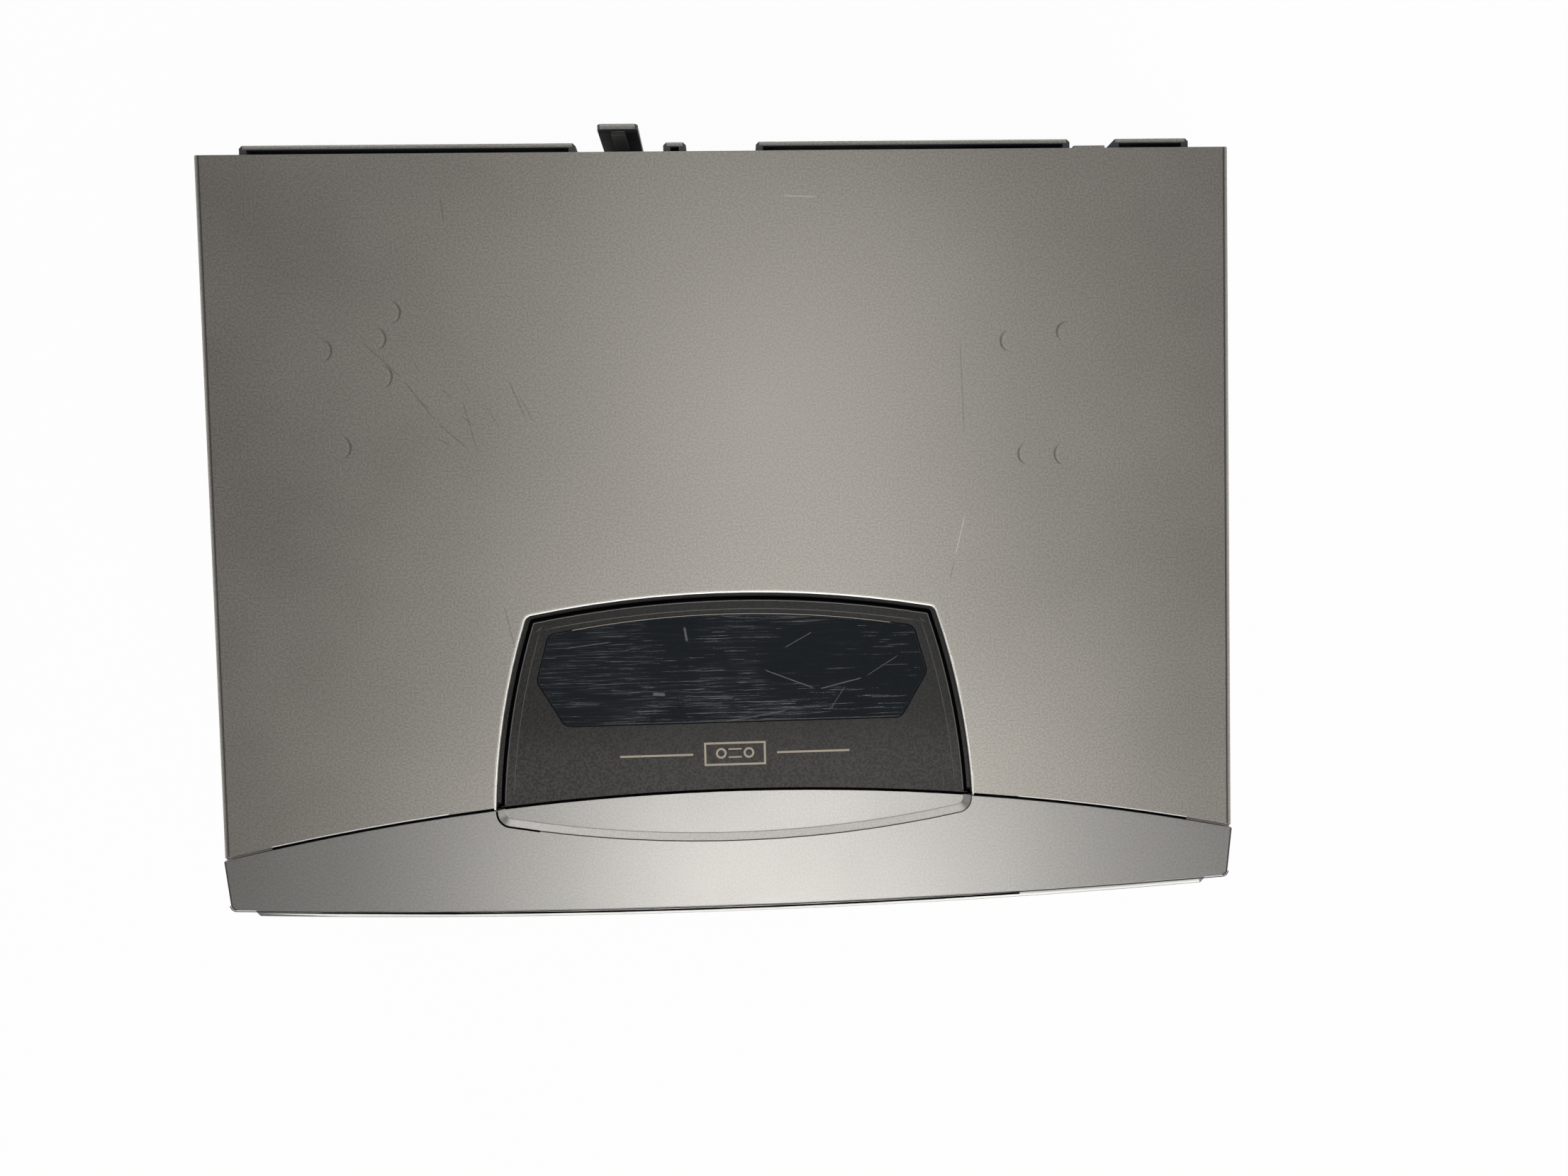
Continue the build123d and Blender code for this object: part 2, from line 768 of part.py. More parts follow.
def cassette_door():
    """Flap over the cassette mouth, on two pins at its top."""
    plate = bowed_plate(door_half, 0, door_thick, door_z0, door_z1)
    back_y = door_axis_y + 1.2
    shelf_top = door_z1 - 0.1
    web = block(-door_half, door_half, front_y + 1.8, back_y, shelf_top - door_shelf, shelf_top)
    web -= bowed_plate(fascia_half, -5.0, 1.0, shelf_top - 5, shelf_top + 5)
    web += block(-door_half, door_half, door_axis_y - 1.2, back_y, shelf_top - door_shelf, door_axis_z)
    barrel = pin_along_x(-door_half + spring_room, door_half, door_axis_y, door_axis_z, door_barrel_r)
    spring_x = -door_half + spring_room
    web -= block(-door_half, spring_x, door_axis_y - 3.2, door_axis_y + 3, door_axis_z - 3, door_axis_z + 3)
    pin_x = door_half + door_pin_reach
    pins = pin_along_x(-pin_x, pin_x, door_axis_y, door_axis_z, door_pin_r)
    return plate + web + barrel + pins


def door_spring():
    """Wound spring on the door's left pin."""
    pitch = (spring_room - 2.0) / spring_turns
    mean_r = door_pin_r + spring_clear + spring_wire / 2
    path = Helix(pitch=pitch, height=pitch * spring_turns, radius=mean_r)
    profile = Plane(origin=path @ 0, z_dir=path % 0) * Circle(spring_wire / 2)
    coil = sweep(profile, path=path)
    return Pos(-door_half + 1.0, door_axis_y, door_axis_z) * Rot(0, 90, 0) * coil


def av_flap():
    """Small flap over the front jacks, hinged along its lower edge."""
    middle, turn, length = flap_place()
    wide = length - 2 * flap_gap
    tall = flap_z1 - flap_z0 - 2 * flap_gap - flap_thick / 2
    plate = Pos(0, 0, tall / 2) * Box(wide, flap_thick, tall)
    knuckle = Rot(0, 90, 0) * Cylinder(flap_thick / 2, wide)
    pins = Rot(0, 90, 0) * Cylinder(flap_pin_r, length + 2 * flap_pin_reach)
    grip = Pos(0, -flap_thick / 2, tall - 2.0) * Box(12, 0.8, 1.2)
    return in_flap_frame(plate + knuckle + pins + grip)


def button(x, z, width, height):
    """Key cap with its flange behind the fascia and a stem to the switch."""
    face = fascia_y(x)
    outer = abs(x) + width / 2 + button_flange
    flange_y = fascia_y(outer) + fascia_wall + fit
    flange_end = flange_y + button_flange_thick
    cap = plate_round(x, z, width, height, face - button_proud, flange_end)
    cap = fillet(cap.edges().group_by(Axis.Y)[0], 0.6)
    side = 2 * button_flange
    flange = plate_round(x, z, width + side, height + side, flange_y, flange_end)
    stem_end = front_board_y - switch_height - button_travel - slip
    stem = plate_round(x, z, stem_size, stem_size, flange_y, stem_end)
    return cap + flange + stem


def display_window():
    """Smoked window that follows the fascia's bow."""
    z0 = window_z0 + fit
    z1 = window_z1 - fit
    return bowed_plate(window_half - fit, 0, fascia_wall, z0, z1)


def display_tube():
    """Flat glass display on the front board."""
    y1 = front_board_y
    return block(-tube_half, tube_half, y1 - tube_depth, y1, tube_z0, tube_z0 + tube_height)


def front_board():
    """Board behind the fascia, with a wing each side of the cassette mouth."""
    y0 = front_board_y
    y1 = y0 + board_thick
    board = block(-front_board_half, front_board_half, y0, y1, front_board_z0, front_board_z1)
    for side in (-1, 1):
        xs = sorted((side * front_wing_x, side * front_board_half))
        board += block(xs[0], xs[1], y0, y1, front_board_z1 - 1, front_wing_top)
    for x, z, width, height in buttons.values():
        board += plate_round(x, z, switch_size, switch_size, y0 - switch_height, y0)
    return board


def phono_jack(x, root_y, tip_y, z):
    """Round jack along Y with a blind bore in its outer end."""
    y0, y1 = sorted((root_y, tip_y))
    floor_y = root_y + (0.5 if tip_y > root_y else -0.5)
    bore_y0, bore_y1 = sorted((floor_y, tip_y))
    barrel = pin_along_y(x, y0, y1, z, jack_r)
    return barrel - pin_along_y(x, bore_y0, bore_y1, z, jack_bore_r)


def front_av_jacks():
    """Three phono jacks on one moulded plate behind the flap."""
    tip_y = fascia_y(flap_x0) + flap_thick + 1.4
    plate_y = tip_y + 5.3
    middle_x = (flap_x0 + flap_x1) / 2
    middle_z = (flap_z0 + flap_z1) / 2
    wide = flap_x1 - flap_x0 - 4.0
    tall = flap_z1 - flap_z0 - 4.0
    solid = plate_round(middle_x, middle_z, wide, tall, plate_y, front_board_y)
    for step in (-1, 0, 1):
        solid += phono_jack(middle_x + step * jack_pitch, plate_y, tip_y, middle_z)
    return solid


def pad(x0, x1, z0, left_cut=1.0, right_cut=1.0):
    """Raised pad of the rear panel with cut corners and a gutter behind its rim."""
    root_y = panel_y1 - 0.5
    corners = Polyline(
        (x0, root_y),
        (x1, root_y),
        (x1, pad_y1 - right_cut),
        (x1 - right_cut, pad_y1),
        (x0 + left_cut, pad_y1),
        (x0, pad_y1 - left_cut),
        close=True,
    )
    outer = raise_face(make_face(corners), z0, pad_top)
    gutter_x0 = x0 + left_cut + pad_wall
    gutter_x1 = x1 - right_cut - pad_wall
    gutter = block(gutter_x0, gutter_x1, panel_y1, pad_y1 - pad_wall, z0 + pad_wall, pad_top + 1)
    return outer - gutter


def rear_panel():
    """Rear plate with raised pads, vents and socket windows."""
    z0 = frame_z + fit
    z1 = top_z - sheet - fit
    plate = block(-frame_half, frame_half, panel_y0, panel_y1, z0, z1)
    plate += pad(left_pad[0], left_pad[1], pad_low_z)
    plate += pad(small_pad[0], small_pad[1], pad_low_z)
    plate += pad(jack_pad[0], jack_pad[1], jack_pad_low_z)
    plate += pad(aerial_pad[0], aerial_pad[1], jack_pad_low_z, left_cut=pad_slant)
    plate += pin_along_y(tab_x, panel_y1 - 0.5, rear_y, tab_screw_z(), screw_head_r + 1.0)
    plate -= pin_along_y(tab_x, panel_y0 - 1, rear_y + 1, tab_screw_z(), screw_r + slip)
    for side in (-1, 1):
        x = side * corner_screw_x()
        plate -= pin_along_y(x, panel_y0 - 1, panel_y1 + 1, corner_screw_z(), screw_r + slip)
    count = int((left_pad[1] - left_pad[0] - 16) // slot_pitch)
    first = (left_pad[0] + left_pad[1]) / 2 - (count - 1) * slot_pitch / 2
    for step in range(count):
        x = first + step * slot_pitch
        wide = slot_width / 2
        plate -= block(x - wide, x + wide, panel_y0 - 1, pad_y1 + 1, pad_low_z + 8, pad_top - 10)
    jacks = rear_jack_window()
    plate -= block(jacks[0], jacks[1], panel_y0 - 1, pad_y1 + 1, jacks[2], jacks[3])
    for z in aerial_zs:
        plate -= pin_along_y(aerial_x, panel_y0 - 1, pad_y1 + 1, z, aerial_r + fit)
    slot_x = aerial_x + select_travel / 2
    wide = select_width + select_travel + 2 * fit
    plate -= plate_round(slot_x, select_z, wide, select_height + 2 * fit, panel_y0 - 1, pad_y1 + 1)
    wide = inlet_width + 2 * fit
    tall = inlet_height + 2 * fit
    plate -= plate_round(inlet_x, inlet_z, wide, tall, panel_y0 - 1, pad_y1)
    return plate


def corner_screw_x():
    """Distance of the lower rear screws from the middle."""
    return frame_half - 8.0


def corner_screw_z():
    """Height of the lower rear screws."""
    return frame_z + 10.0


def rear_jack_window():
    """Window for the rear jacks: x0, x1, z0, z1."""
    x0 = rear_jack_xs[0] - rear_jack_margin
    x1 = rear_jack_xs[-1] + rear_jack_margin
    z0 = rear_jack_zs[0] - rear_jack_margin
    z1 = rear_jack_zs[-1] + rear_jack_margin
    return x0, x1, z0, z1


def cord_hook():
    """Upright hook behind the panel, open at its top."""
    x0 = hook_x - hook_width / 2
    x1 = hook_x + hook_width / 2
    plate = block(x0, x1, hook_y - hook_thick, hook_y, hook_z0, hook_z1)
    plate = fillet(plate.edges().filter_by(Axis.Y).group_by(Axis.Z)[-1], hook_corner)
    foot = block(x0, x1, panel_y1, hook_y, hook_z0, hook_z0 + 3.0)
    back = block(x0, x1, panel_y1, panel_y1 + hook_thick, hook_z0, hook_z0 + 16.0)
    wide = hook_rib / 2
    rib_top = hook_z1 - hook_corner
    rib_y = hook_y - hook_thick - hook_rib_proud
    rib = block(hook_x - wide, hook_x + wide, rib_y, hook_y, rib_top - hook_rib_height, rib_top)
    rib = chamfer(rib.edges().filter_by(Axis.X).group_by(Axis.Y)[0], hook_rib_proud * 0.8)
    return plate + foot + back + rib


def bottom_frame():
    """Moulded ring with ribs, deck posts and board bosses."""
    y0 = joint_y - 0.1
    y1 = panel_y0 - fit
    z1 = frame_z + frame_height
    ring = block(-frame_half, frame_half, y0, y1, frame_z, z1)
    inner = frame_half - frame_wall
    ring -= block(-inner, inner, y0 + frame_wall, y1 - frame_wall, frame_z - 1, z1 + 1)
    ledge = block(-frame_half, frame_half, y0, y1, frame_z, frame_z + rib_thick)
    ledge_half = frame_half - frame_ledge
    ledge -= block(-ledge_half, ledge_half, y0 + frame_ledge, y1 - frame_ledge, frame_z - 1, z1)
    solid = ring + ledge
    reach = rib_width / 2
    for y in rib_ys:
        solid += block(-ledge_half - 1, ledge_half + 1, y - reach, y + reach, frame_z, frame_z + rib_thick)
    for x, y in deck_posts():
        solid += post(x, y, frame_z, deck_z, post_r)
    for x, y in board_bosses():
        solid += post(x, y, frame_z, main_board_z, boss_r)
    for side in (-1, 1):
        x = side * corner_screw_x()
        boss = block(x - 5, x + 5, y1 - 12, y1, frame_z, corner_screw_z() + 6)
        solid += boss
        solid -= pin_along_y(x, y1 - 11, y1 + 1, corner_screw_z(), screw_r + slip)
    for x, y in foot_places():
        solid -= post(x, y, frame_z - 1, frame_z + rib_thick + 1, foot_peg_r + fit)
    for x0, x1, z0 in rear_notches():
        solid -= block(x0 - 1, x1 + 1, y1 - frame_wall - 1, y1 + 1, z0 - 1, z1 + 1)
    return solid


def rear_notches():
    """Openings in the frame's rear wall: x0, x1 and lower edge."""
    jacks = rear_jack_window()
    inlet_half = inlet_width / 2
    tuner_half = tuner_width / 2
    return [
        (inlet_x - inlet_half, inlet_x + inlet_half, inlet_z - inlet_height / 2),
        (jacks[0] - 3, jacks[1] + 3, jacks[2] - 3),
        (aerial_x - tuner_half, aerial_x + tuner_half, board_z1),
    ]


def deck_posts():
    """Places of the four posts under the deck."""
    return [(side * post_x, y) for side in (-1, 1) for y in (rib_ys[0], rib_ys[2])]


def board_bosses():
    """Places of the bosses under the two lower boards."""
    main = [(x, y) for x in (-60.0, 60.0, frame_half - 24.0) for y in rib_ys]
    power = [(x, y) for x in (power_x0 + 4, power_x1 - 4) for y in rib_ys[1:]]
    return main + power


def foot_places():
    """Centres of the four feet."""
    return [(side * foot_x, y) for side in (-1, 1) for y in (joint_y + foot_inset, rear_y - foot_inset)]


def bottom_plate():
    """Pressed plate with rows of vents and holes for the feet."""
    edge = frame_half - 9.0
    plate = block(-edge, edge, joint_y + 5, panel_y0 - 5, foot_height, foot_height + sheet)
    for row in (joint_y + 70.5, joint_y + 150.5):
        for step in range(-6, 7):
            x = step * 14.0
            plate -= block(x - 2, x + 2, row - 15, row + 15, foot_height - 1, foot_height + 2)
    for x, y in foot_places():
        plate -= post(x, y, foot_height - 1, foot_height + 2, foot_peg_r + fit)
    return plate


def feet():
    """Four round feet with pegs."""
    solids = []
    for x, y in foot_places():
        foot = post(x, y, 0, foot_height, foot_r)
        foot = chamfer(foot.edges().group_by(Axis.Z)[0], 1.0)
        solids.append(foot + post(x, y, foot_height - 0.5, foot_height + foot_peg_height, foot_peg_r))
    return Compound(children=solids)


def rear_screw(x, y, z):
    """Pan-head screw from behind, with its head against y."""
    head = pin_along_y(x, y, y + screw_head, z, screw_head_r)
    head = fillet(head.edges().group_by(Axis.Y)[-1], 0.7)
    shank = pin_along_y(x, y - screw_length, y + 0.2, z, screw_r)
    cross = block(x - 2, x + 2, y + screw_head - 0.6, y + screw_head + 1, z - 0.4, z + 0.4)
    cross += block(x - 0.4, x + 0.4, y + screw_head - 0.6, y + screw_head + 1, z - 2, z + 2)
    return head + shank - cross


def case_screws():
    """Screws of the cover's tab and the rear panel."""
    screws = [rear_screw(tab_x, rear_y + sheet, tab_screw_z())]
    for side in (-1, 1):
        screws.append(rear_screw(side * corner_screw_x(), panel_y1, corner_screw_z()))
    return Compound(children=screws)


def viewer_frame():
    """Sunk plate round the lens, held under the cover."""
    notch = viewer_outline()
    behind = seam_front(seam_gap - fit)
    plate = offset(notch, -viewer_gap, kind=Kind.INTERSECTION) - behind
    wide = offset(notch, viewer_flange, kind=Kind.INTERSECTION) - seam_front(-sheet - fit)
    z1 = top_z - viewer_sink
    z0 = z1 - viewer_plate
    lip_z = top_z - viewer_lip - sheet
    flange_z1 = lip_z - fit
    solid = raise_face(plate, z0, z1) + raise_face(wide, z0, flange_z1)
    lens = lens_outline()
    pocket = offset(lens, slip, kind=Kind.INTERSECTION)
    solid -= raise_face(pocket, z1 - lens_seat(), z1 + 1)
    solid -= raise_face(offset(lens, -lens_ledge, kind=Kind.INTERSECTION), z0 - 1, z1)
    reach = viewer_rear_half + 9.0
    for side in (-1, 1):
        for y in (viewer_rear_y - 12.0, viewer_rear_y - 40.0):
            solid += post(side * (reach + (viewer_rear_y - y) * 0.12), y, z0, top_z - sheet, 2.0)
    return solid


def lens_seat():
    """Depth of the lens's pocket under the frame's top."""
    return lens_thick - 0.3


def viewer_lens():
    """Clear lens in the viewer's frame."""
    z0 = top_z - viewer_sink - lens_seat()
    lens = raise_face(lens_outline(), z0, z0 + lens_thick)
    return chamfer(lens.edges().group_by(Axis.Z)[-1], 0.4)


def deck_chassis():
    """Pressed deck plate with its riveted studs."""
    plate = block(-deck_half, deck_half, deck_y0, deck_y1, deck_z, deck_top)
    plate = fillet(plate.edges().filter_by(Axis.Z), 4.0)
    plate -= post(0, drum_y, deck_z - 1, deck_top + 1, drum_shaft_r + 5)
    plate -= post(capstan_x, capstan_y, deck_z - 1, deck_top + 1, bearing_r() + fit)
    plate -= post(0, clutch_y, deck_z - 1, deck_top + 1, clutch_bush_r() + slip)
    plate -= post(pinion_x, pinion_y, deck_z - 1, deck_top + 1, motor_shaft_r + 2)
    for side in (-1, 1):
        plate -= raise_face(guide_slot_face(side), deck_z - 1, deck_top + 1)
    loader = bracket_x + bracket_thick
    plate -= block(loader - 1, loader + 6, loading_y - 7, loading_y + 7, deck_z - 1, deck_top + 1)
    for side in (-1, 1):
        plate += post(side * reel_x, reel_y, deck_z, spindle_top - 2, reel_stud_r)
        plate += post(side * reel_x, reel_y, deck_top - 0.2, drive_z - slip, reel_stud_r + 2)
    plate += post(pinch_x, pinch_y, deck_z, roller_z1 - 2, 2.5)
    plate += post(tension_x, tension_y, deck_z, drive_z + 8, 2.0)
    plate += post(cam_x, cam_y, deck_z, drive_z + cam_thick + 1, cam_stud_r)
    plate += post(cam_x, cam_y, deck_top - 0.2, drive_z - slip, cam_stud_r + 2)
    return plate


def guide_slot_face(side):
    """Arc slot in which one guide travels."""
    start = degrees(asin((guide_start[1] - guide_centre[1]) / guide_radius))
    first = (guide_start[0], guide_start[1])
    last = guide_place(guide_sweep)
    middle = guide_place(guide_sweep / 2)
    arc = ThreePointArc(first, middle, last)
    wide = guide_slot / 2
    inner = offset_arc(guide_radius - wide, start)
    outer = offset_arc(guide_radius + wide, start)
    first_cap = Line(outer @ 0, inner @ 0)
    last_cap = Line(inner @ 1, outer @ 1)
    face = outline(inner, last_cap, outer, first_cap)
    face = face + Pos(*(arc @ 0)) * Circle(wide) + Pos(*(arc @ 1)) * Circle(wide)
    return face if side > 0 else mirror(face, about=Plane.YZ)


def guide_place(turned):
    """Place of the right-hand guide after it has turned."""
    start = asin((guide_start[1] - guide_centre[1]) / guide_radius)
    angle = start + radians(turned)
    return (-guide_centre[0] + guide_radius * cos(angle), guide_centre[1] + guide_radius * sin(angle))


def offset_arc(radius, start):
    """Arc about the right-hand guide's centre."""
    points = []
    for turned in (0, guide_sweep / 2, guide_sweep):
        angle = radians(start + turned)
        points.append((-guide_centre[0] + radius * cos(angle), guide_centre[1] + radius * sin(angle)))
    return ThreePointArc(*points)


def bearing_r():
    """Outer radius of the capstan's bearing tube."""
    return capstan_r + 3.0


def clutch_bush_r():
    """Radius of the clutch's bush in the deck."""
    return 4.0


def guide(side):
    """Tape guide on its round shoe, with an upright roller and a slanted pin."""
    x, y = guide_start
    z0 = deck_top + 0.1
    shoe = post(x, y, z0, z0 + 4.0, guide_base_r)
    keel = post(x, y, deck_z - 1.0, z0 + 1.0, guide_slot / 2 - slip)
    roller = post(x, y, z0 + 3.5, guide_top, guide_post_r)
    roller += post(x, y, z0 + 11.5, z0 + 13.0, guide_post_r + 1.5)
    roller += post(x, y, guide_top - 1.5, guide_top, guide_post_r + 1.5)
    slanted = Pos(x - 4.5, y, z0 + 15.0) * Rot(0, -8, 0) * Cylinder(1.2, 24.0)
    solid = shoe + keel + roller + slanted
    return solid if side > 0 else mirrored(solid)


def side_bracket():
    """Right-hand bracket with a window for the holder's pins and a slot for the slide."""
    x0 = bracket_x
    x1 = bracket_x + bracket_thick
    plate = block(x0, x1, bracket_y0, bracket_y0 + bracket_depth, deck_top, bracket_top)
    clear = 0.4
    y0 = holder_pin_ys[0] - pin_r - clear
    y1 = holder_pin_ys[-1] + holder_travel + pin_r + clear
    plate -= block(x0 - 1, x1 + 1, y0, y1, pin_z - holder_drop - pin_r - clear, pin_z + pin_r + clear)
    y0 = guide_pin_ys[0] - guide_pin_r - clear
    y1 = guide_pin_ys[-1] + holder_travel + guide_pin_r + clear
    tall = guide_pin_r + slip
    plate -= block(x0 - 1, x1 + 1, y0, y1, guide_pin_z - tall, guide_pin_z + tall)
    for y in (bracket_y0 + 6.0, bracket_y0 + bracket_depth - 26.0):
        plate += block(x0, x0 + 11.0, y, y + 20.0, deck_top, deck_top + bracket_thick)
    return plate


def side_bracket_right():
    """Right-hand bracket with the stud of the loading gear."""
    stud_x1 = slide_x + 0.1 + loading_gear_width + 0.3
    stud = pin_along_x(bracket_x, stud_x1, loading_y, loading_z, loading_bore_r)
    return side_bracket() + stud


def side_bracket_left():
    """Left-hand bracket."""
    return mirrored(side_bracket())


def slide_plate():
    """Right-hand slide with pin slots and guide pins."""
    plate = block(slide_x, slide_outer, slide_y0, slide_y1, slide_z0, bracket_top)
    tall = pin_r + slip
    wide = pin_r + running
    slot_z0 = pin_z - holder_drop - tall
    for y in holder_pin_ys:
        plate -= block(slide_x - 1, slide_outer + 1, y - wide, y + wide, slot_z0, pin_z + tall)
    for y in guide_pin_ys:
        plate += pin_along_x(bracket_x - 0.4, slide_x + 0.5, y, guide_pin_z, guide_pin_r)
    return plate


def rack():
    """Straight rack under the right-hand slide."""
    pitch = pi * rack_module
    y0 = loading_y - holder_travel - rack_reserve
    y1 = loading_y + rack_reserve
    root_z = rack_pitch_z + 1.25 * rack_module
    tip_z = rack_pitch_z - rack_module
    bar = block(slide_x, slide_outer, y0, y1, root_z - 0.01, root_z + 2.5)
    lean = tan(radians(pressure))
    pitch_half = pitch / 4 - backlash / 2
    root_half = pitch_half + lean * 1.25 * rack_module
    tip_half = pitch_half - lean * rack_module
    count = int((holder_travel + 2 * rack_reserve) / pitch)
    side = Plane(origin=(slide_x, 0, 0), x_dir=(0, 1, 0), z_dir=(1, 0, 0))
    teeth = []
    for step in range(count):
        y = loading_y + (0.5 - step) * pitch
        profile = Polyline(
            (y - root_half, root_z),
            (y - tip_half, tip_z),
            (y + tip_half, tip_z),
            (y + root_half, root_z),
            close=True,
        )
        teeth.append(extrude(side * make_face(profile), amount=slide_thick, dir=(1, 0, 0)))
    return bar + teeth


def loader_slides():
    """Both slides, joined by a bar behind the holder."""
    right = slide_plate() + rack()
    left = mirrored(slide_plate())
    bar_y = holder_y0 + holder_depth + 1.5
    z0 = bracket_top + 0.6
    bar = block(-slide_outer, slide_outer, bar_y, bar_y + 6.0, z0, z0 + 1.6)
    for side in (-1, 1):
        xs = sorted((side * slide_x, side * slide_outer))
        bar += block(xs[0], xs[1], slide_y1 - 12.0, bar_y + 6.0, bracket_top - 4.0, z0 + 1.6)
    return right + left + bar


def loading_gear():
    """Gear that drives the rack."""
    face = gear_outline(rack_module, rack_teeth, loading_bore_r + running)
    gear = extrude(face, amount=loading_gear_width)
    turned = Rot(0, 90, 0) * Rot(0, 0, 180) * gear
    return Pos(slide_x + 0.1, loading_y, loading_z) * turned


def cassette_holder():
    """Open tray that carries the cassette, with four pins."""
    y0 = holder_y0
    y1 = y0 + holder_depth
    outer = holder_half
    inner = holder_half - holder_wall
    solid = block(-outer, outer, y0, y1, holder_floor, holder_top)
    solid -= block(-inner, inner, y0 - 1, y1 + 1, holder_floor + holder_wall, holder_top - holder_wall)
    ledge = outer - ledge_width
    solid -= block(-ledge, ledge, y0 - 1, y1 + 1, holder_floor - 1, holder_floor + holder_wall + 1)
    solid -= block(-ledge, ledge, y0 + 12, y1 - 10, holder_top - 3, holder_top + 1)
    for side in (-1, 1):
        xs = sorted((side * ledge, side * outer))
        solid += block(xs[0], xs[1], y1 - holder_wall, y1, holder_floor, holder_top)
        pin_xs = sorted((side * (outer - 0.5), side * slide_outer))
        for y in holder_pin_ys:
            solid += pin_along_x(pin_xs[0], pin_xs[1], y, pin_z, pin_r)
    return solid


def drum_frame(solid):
    """Tilts a piece of the drum into place."""
    return Pos(0, drum_y, drum_seat_z) * Rot(0, drum_tilt, 0) * solid


def drum_base():
    """Fixed lower drum on its pedestal."""
    lower = drum_frame(Pos(0, 0, drum_lower / 2) * Cylinder(drum_r, drum_lower))
    pedestal = post(0, drum_y, deck_top, drum_seat_z + 4, drum_pedestal_r)
    flange = post(0, drum_y, deck_top, deck_top + 2.0, drum_pedestal_r + 8)
    bore = drum_frame(Cylinder(drum_shaft_r + running, 60))
    return lower + pedestal + flange - bore


def upper_drum():
    """Turning drum with its shaft and the rotor under the deck."""
    z0 = drum_lower + drum_gap
    drum = Pos(0, 0, z0 + drum_upper / 2) * Cylinder(drum_r, drum_upper)
    drum = chamfer(drum.edges().group_by(Axis.Z)[-1], 1.0)
    drum -= Pos(0, 0, z0 + drum_upper) * Cylinder(drum_r * 0.6, 5.0)
    hub = Pos(0, 0, z0 + drum_upper - 2) * Cylinder(8.0, 7.0)
    for side in (-1, 1):
        drum -= Pos(side * drum_r, 0, z0) * Box(6, 3, 3)
    low = -rotor_drop
    shaft = Pos(0, 0, (low + z0 + 1) / 2) * Cylinder(drum_shaft_r, z0 + 1 - low)
    rotor = Pos(0, 0, low + rotor_thick / 2) * Cylinder(rotor_r, rotor_thick)
    return drum_frame(drum + hub + shaft + rotor)


def capstan_motor():
    """Bearing of the capstan and the fixed coil board under its flywheel."""
    housing = post(capstan_x, capstan_y, deck_top, deck_top + 1.4, bearing_r() + 3)
    housing += post(capstan_x, capstan_y, deck_z - 0.6, roller_z0 - 3, bearing_r())
    housing -= post(capstan_x, capstan_y, 0, capstan_top, capstan_r + running)
    coil_z = flywheel_z - coil_drop
    reach = flywheel_r + 5.0
    x0 = capstan_x - reach - 3
    x1 = capstan_x + reach + 3
    board = block(x0, x1, capstan_y - 12, capstan_y + 12, coil_z, coil_z + board_thick)
    board += post(capstan_x, capstan_y, coil_z, flywheel_z - 1.0, flywheel_r - 4)
    for side in (-1, 1):
        board += post(capstan_x + side * reach, capstan_y, coil_z, deck_z, 2.0)
    return Compound(children=[housing, board])


def capstan_flywheel():
    """Flywheel, belt pulley and capstan shaft."""
    top = flywheel_z + flywheel_thick
    wheel = post(capstan_x, capstan_y, flywheel_z, top, flywheel_r)
    wheel = chamfer(wheel.edges().group_by(Axis.Z)[0], 1.0)
    wheel += grooved_pulley(capstan_x, capstan_y, capstan_pulley_r, top - 0.2)
    return wheel + post(capstan_x, capstan_y, flywheel_z, capstan_top, capstan_r)


def grooved_pulley(x, y, radius, z0):
    """Pulley with a rim above its groove."""
    groove_top = belt_z + belt_height + fit
    solid = post(x, y, z0, groove_top, radius)
    return solid + post(x, y, groove_top - 0.01, groove_top + 0.5, radius + pulley_rim)


def capstan_belt():
    """Flat belt from the capstan to the clutch."""
    rings = []
    for grow in (fit, fit + belt_thick):
        first = Pos(capstan_x, capstan_y) * Circle(capstan_pulley_r + grow)
        second = Pos(0, clutch_y) * Circle(clutch_pulley_r + grow)
        rings.append(make_hull(first.edges() + second.edges()))
    return raise_face(rings[1] - rings[0], belt_z, belt_z + belt_height)


def clutch_pulley():
    """Clutch with its belt pulley below the deck and its drive wheel above."""
    lower = post(0, clutch_y, belt_z - 1.0, belt_z - 0.3, clutch_pulley_r + pulley_rim)
    lower += grooved_pulley(0, clutch_y, clutch_pulley_r, belt_z - 0.4)
    shaft = post(0, clutch_y, belt_z, drive_z + drive_thick + 2.0, capstan_r)
    bush = post(0, clutch_y, belt_z, drive_z, clutch_bush_r())
    wheel = post(0, clutch_y, drive_z, drive_z + drive_thick, drive_r)
    return lower + bush + shaft + wheel


def reel(side):
    """Reel table with a splined spindle."""
    x = side * reel_x
    solid = post(x, reel_y, drive_z, drive_z + drive_thick, reel_r)
    solid = fillet(solid.edges().group_by(Axis.Z)[-1], 0.5)
    solid += post(x, reel_y, drive_z, drive_z + drive_thick + 2.2, spindle_r + 3)
    spindle = post(x, reel_y, drive_z, spindle_top - 4, spindle_r - 1.5)
    spindle += Pos(x, reel_y, spindle_top - 2) * Cone(spindle_r - 1.5, spindle_r - 5, 4)
    for step in range(3):
        spoke = Pos(spindle_r - 2, 0, 0) * Box(3.5, 2.4, spindle_top - 6 - drive_z)
        spindle += Pos(x, reel_y, (spindle_top - 6 + drive_z) / 2) * Rot(0, 0, 120 * step + 30) * spoke
    return solid + spindle - post(x, reel_y, drive_z - 1, spindle_top - 2 + fit, reel_stud_r + running)


def idler_length():
    """Idler arm's length, from the sizes of the wheels it joins."""
    return drive_r + idler_wheel_r + fit


